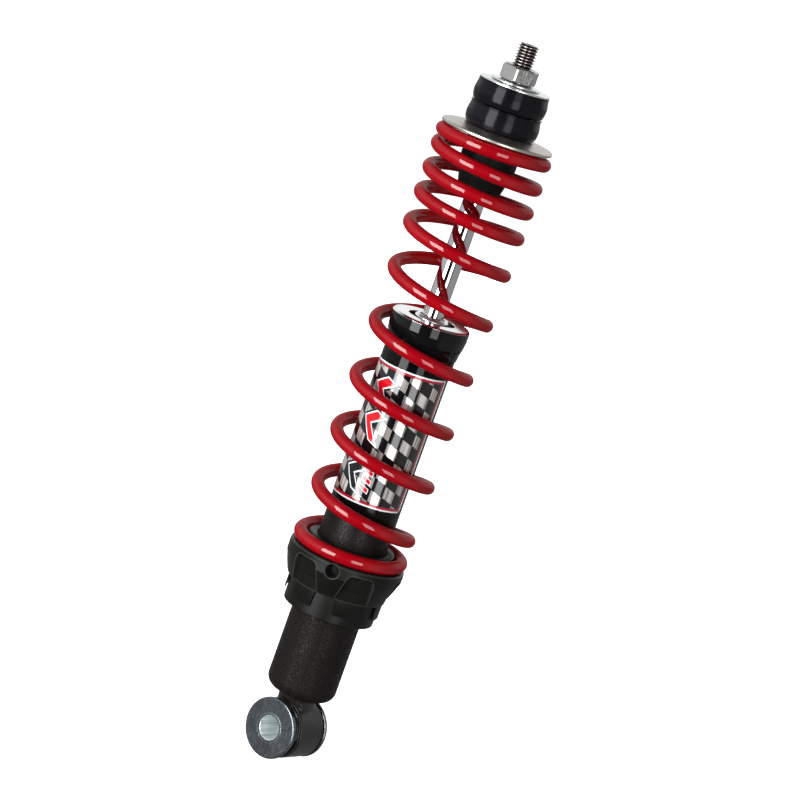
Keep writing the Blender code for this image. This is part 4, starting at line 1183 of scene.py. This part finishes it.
def cam_ring():
    low = z_span("cam_ring")[0]
    outline = [
        (20.2, low), (23.6, low, 0.6), (23.6, CAM_BASE, 0.5), (18.3, CAM_BASE, 0.2),
        (18.3, low + 2.8), (20.2, low + 2.8),
    ]
    turned("cam_ring_body", "damper", "collar_black", COLLAR_BLACK, "cam_ring", outline, 144)
    ramps("cam_ring_ramps", "damper", 18.4, 23.2, 78.2, 0.0, "cam_ring")


collar()
cam_ring()

# ---- hidden pieces keep their CAD shape

HIDDEN = (
    (WASHER_ZINC, "cushion_spacer"),
    (BUMP_RUBBER, "oil_seal", "gland_seal", "floating_piston_seal"),
    (ALUMINIUM, "seal_backing_ring", "rebound_stop", "piston", "floating_piston"),
    (BRONZE, "rod_bush"),
    (GLIDE, "piston_band"),
    (SPRING_STEEL, "rebound_shims", "compression_shims"),
    (NUT_ZINC, "piston_nut"),
)
for node_material, *node_names in HIDDEN:
    for node_name in node_names:
        node_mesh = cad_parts[node_name].data
        node_mesh.materials.clear()
        node_mesh.materials.append(node_material)

# ---- floor, light, camera


def stage_floor():
    low = cad_bounds[0].z
    mesh = bpy.data.meshes.new("floor")
    size = 30.0
    corners = [(-size, -size, low), (size, -size, low), (size, size, low), (-size, size, low)]
    mesh.from_pydata(corners, [], [(0, 1, 2, 3)])
    floor = in_scene("floor", mesh)
    paint = Paint("floor_white")
    paint.set(base_color=(0.8, 0.8, 0.8), roughness=0.9)
    paint.set(emission_color=(1.0, 1.0, 1.0), emission_strength=1.0)
    mesh.materials.append(paint.material)
    floor.visible_glossy = False
    floor.visible_diffuse = False
    floor.visible_shadow = False


def direction(side_deg, height_deg):
    """Unit vector at an angle round the shock from the camera's side, and a height above level."""
    angle = math.radians(FRONT_DEG + side_deg)
    rise = math.radians(height_deg)
    level = math.cos(rise)
    return Vector((math.cos(angle) * level, math.sin(angle) * level, math.sin(rise)))


def soft_box(name, side_deg, height_deg, width, height, power, reflected=True):
    """Lamp that faces the shock. One that isn't reflected shows in no glossy surface."""
    light = bpy.data.lights.new(name, "AREA")
    light.shape = "RECTANGLE"
    light.size = width
    light.size_y = height
    light.energy = power
    lamp = in_scene(name, light)
    lamp.visible_glossy = reflected
    aim = direction(side_deg, height_deg)
    lamp.location = aim * 1.6 + Vector((0.0, 0.0, 0.2))
    lamp.rotation_mode = "QUATERNION"
    lamp.rotation_quaternion = aim.to_track_quat("Z", "Y")


def studio_world():
    """White walls at the sides and behind, darker overhead and in front, as in a small studio."""
    world = bpy.data.worlds.new("studio")
    bpy.context.scene.world = world
    world.use_nodes = True
    sky = Nodes(world.node_tree, "Generated")

    def fade(value, *limits):
        return sky.spread(value, *limits, smooth=True)

    flat = sky.math("MULTIPLY", sky.place, (1.0, 1.0, 0.0), kind="VectorMath")
    level = sky.math("NORMALIZE", flat, kind="VectorMath")

    def towards(side_deg):
        node = sky.make("VectorMath")
        node.operation = "DOT_PRODUCT"
        sky.put(node.inputs[0], level)
        sky.put(node.inputs[1], tuple(direction(side_deg, 0.0)))
        return node.outputs["Value"]

    up = sky.axis("Z")
    behind = fade(towards(180.0), 0.2, 0.62, 0.0, 1.0)
    behind = sky.times(behind, fade(up, -0.08, 0.12, 0.26, 1.0))
    right = fade(towards(90.0), 0.5, 0.85, 0.0, 0.34)
    left = fade(towards(-90.0), 0.6, 0.9, 0.0, 1.0)
    left = sky.times(left, fade(up, -0.3, -0.1, 0.13, 0.7))
    wall = sky.most(behind, sky.most(right, left))
    above = fade(up, 0.4, 0.75, 1.0, 0.25)
    below = fade(up, -0.6, -0.9, 1.0, 0.3)
    glow = sky.add(sky.times(wall, sky.times(above, below)), 0.015)
    seen = sky.make("LightPath").outputs["Is Camera Ray"]
    background = sky.nodes["Background"]
    sky.put(background.inputs["Strength"], sky.most(glow, seen))
    background.inputs["Color"].default_value = (1.0, 1.0, 1.0, 1.0)


def camera():
    toward = direction(0.0, 0.0)
    right = Vector((-toward.y, toward.x, 0.0))
    pitch, roll = math.radians(CAMERA_PITCH_DEG), math.radians(CAMERA_ROLL_DEG)
    forward = -toward * math.cos(pitch) - Vector((0.0, 0.0, math.sin(pitch)))
    up = right.cross(forward)
    tilted_right = right * math.cos(roll) + up * math.sin(roll)
    tilted_up = up * math.cos(roll) - right * math.sin(roll)
    data = bpy.data.cameras.new("camera")
    data.lens = CAMERA_LENS
    data.sensor_width = 36.0
    data.clip_start, data.clip_end = 0.05, 100.0
    holder = in_scene("camera", data)
    turn = Matrix((tilted_right, tilted_up, -forward)).transposed().to_4x4()
    place = toward * CAMERA_REACH + right * CAMERA_SIDE + Vector((0.0, 0.0, CAMERA_HEIGHT))
    holder.matrix_world = Matrix.Translation(place) @ turn
    bpy.context.scene.camera = holder


stage_floor()
studio_world()
soft_box("soft_box_left", -37.0, 4.8, 0.82, 1.43, 40.0)
soft_box("soft_box_right", 22.0, -1.0, 0.62, 1.3, 13.0)
soft_box("fill_back", 160.0, 15.0, 1.6, 1.4, 26.0, reflected=False)
camera()
bpy.context.scene.view_settings.view_transform = "Standard"
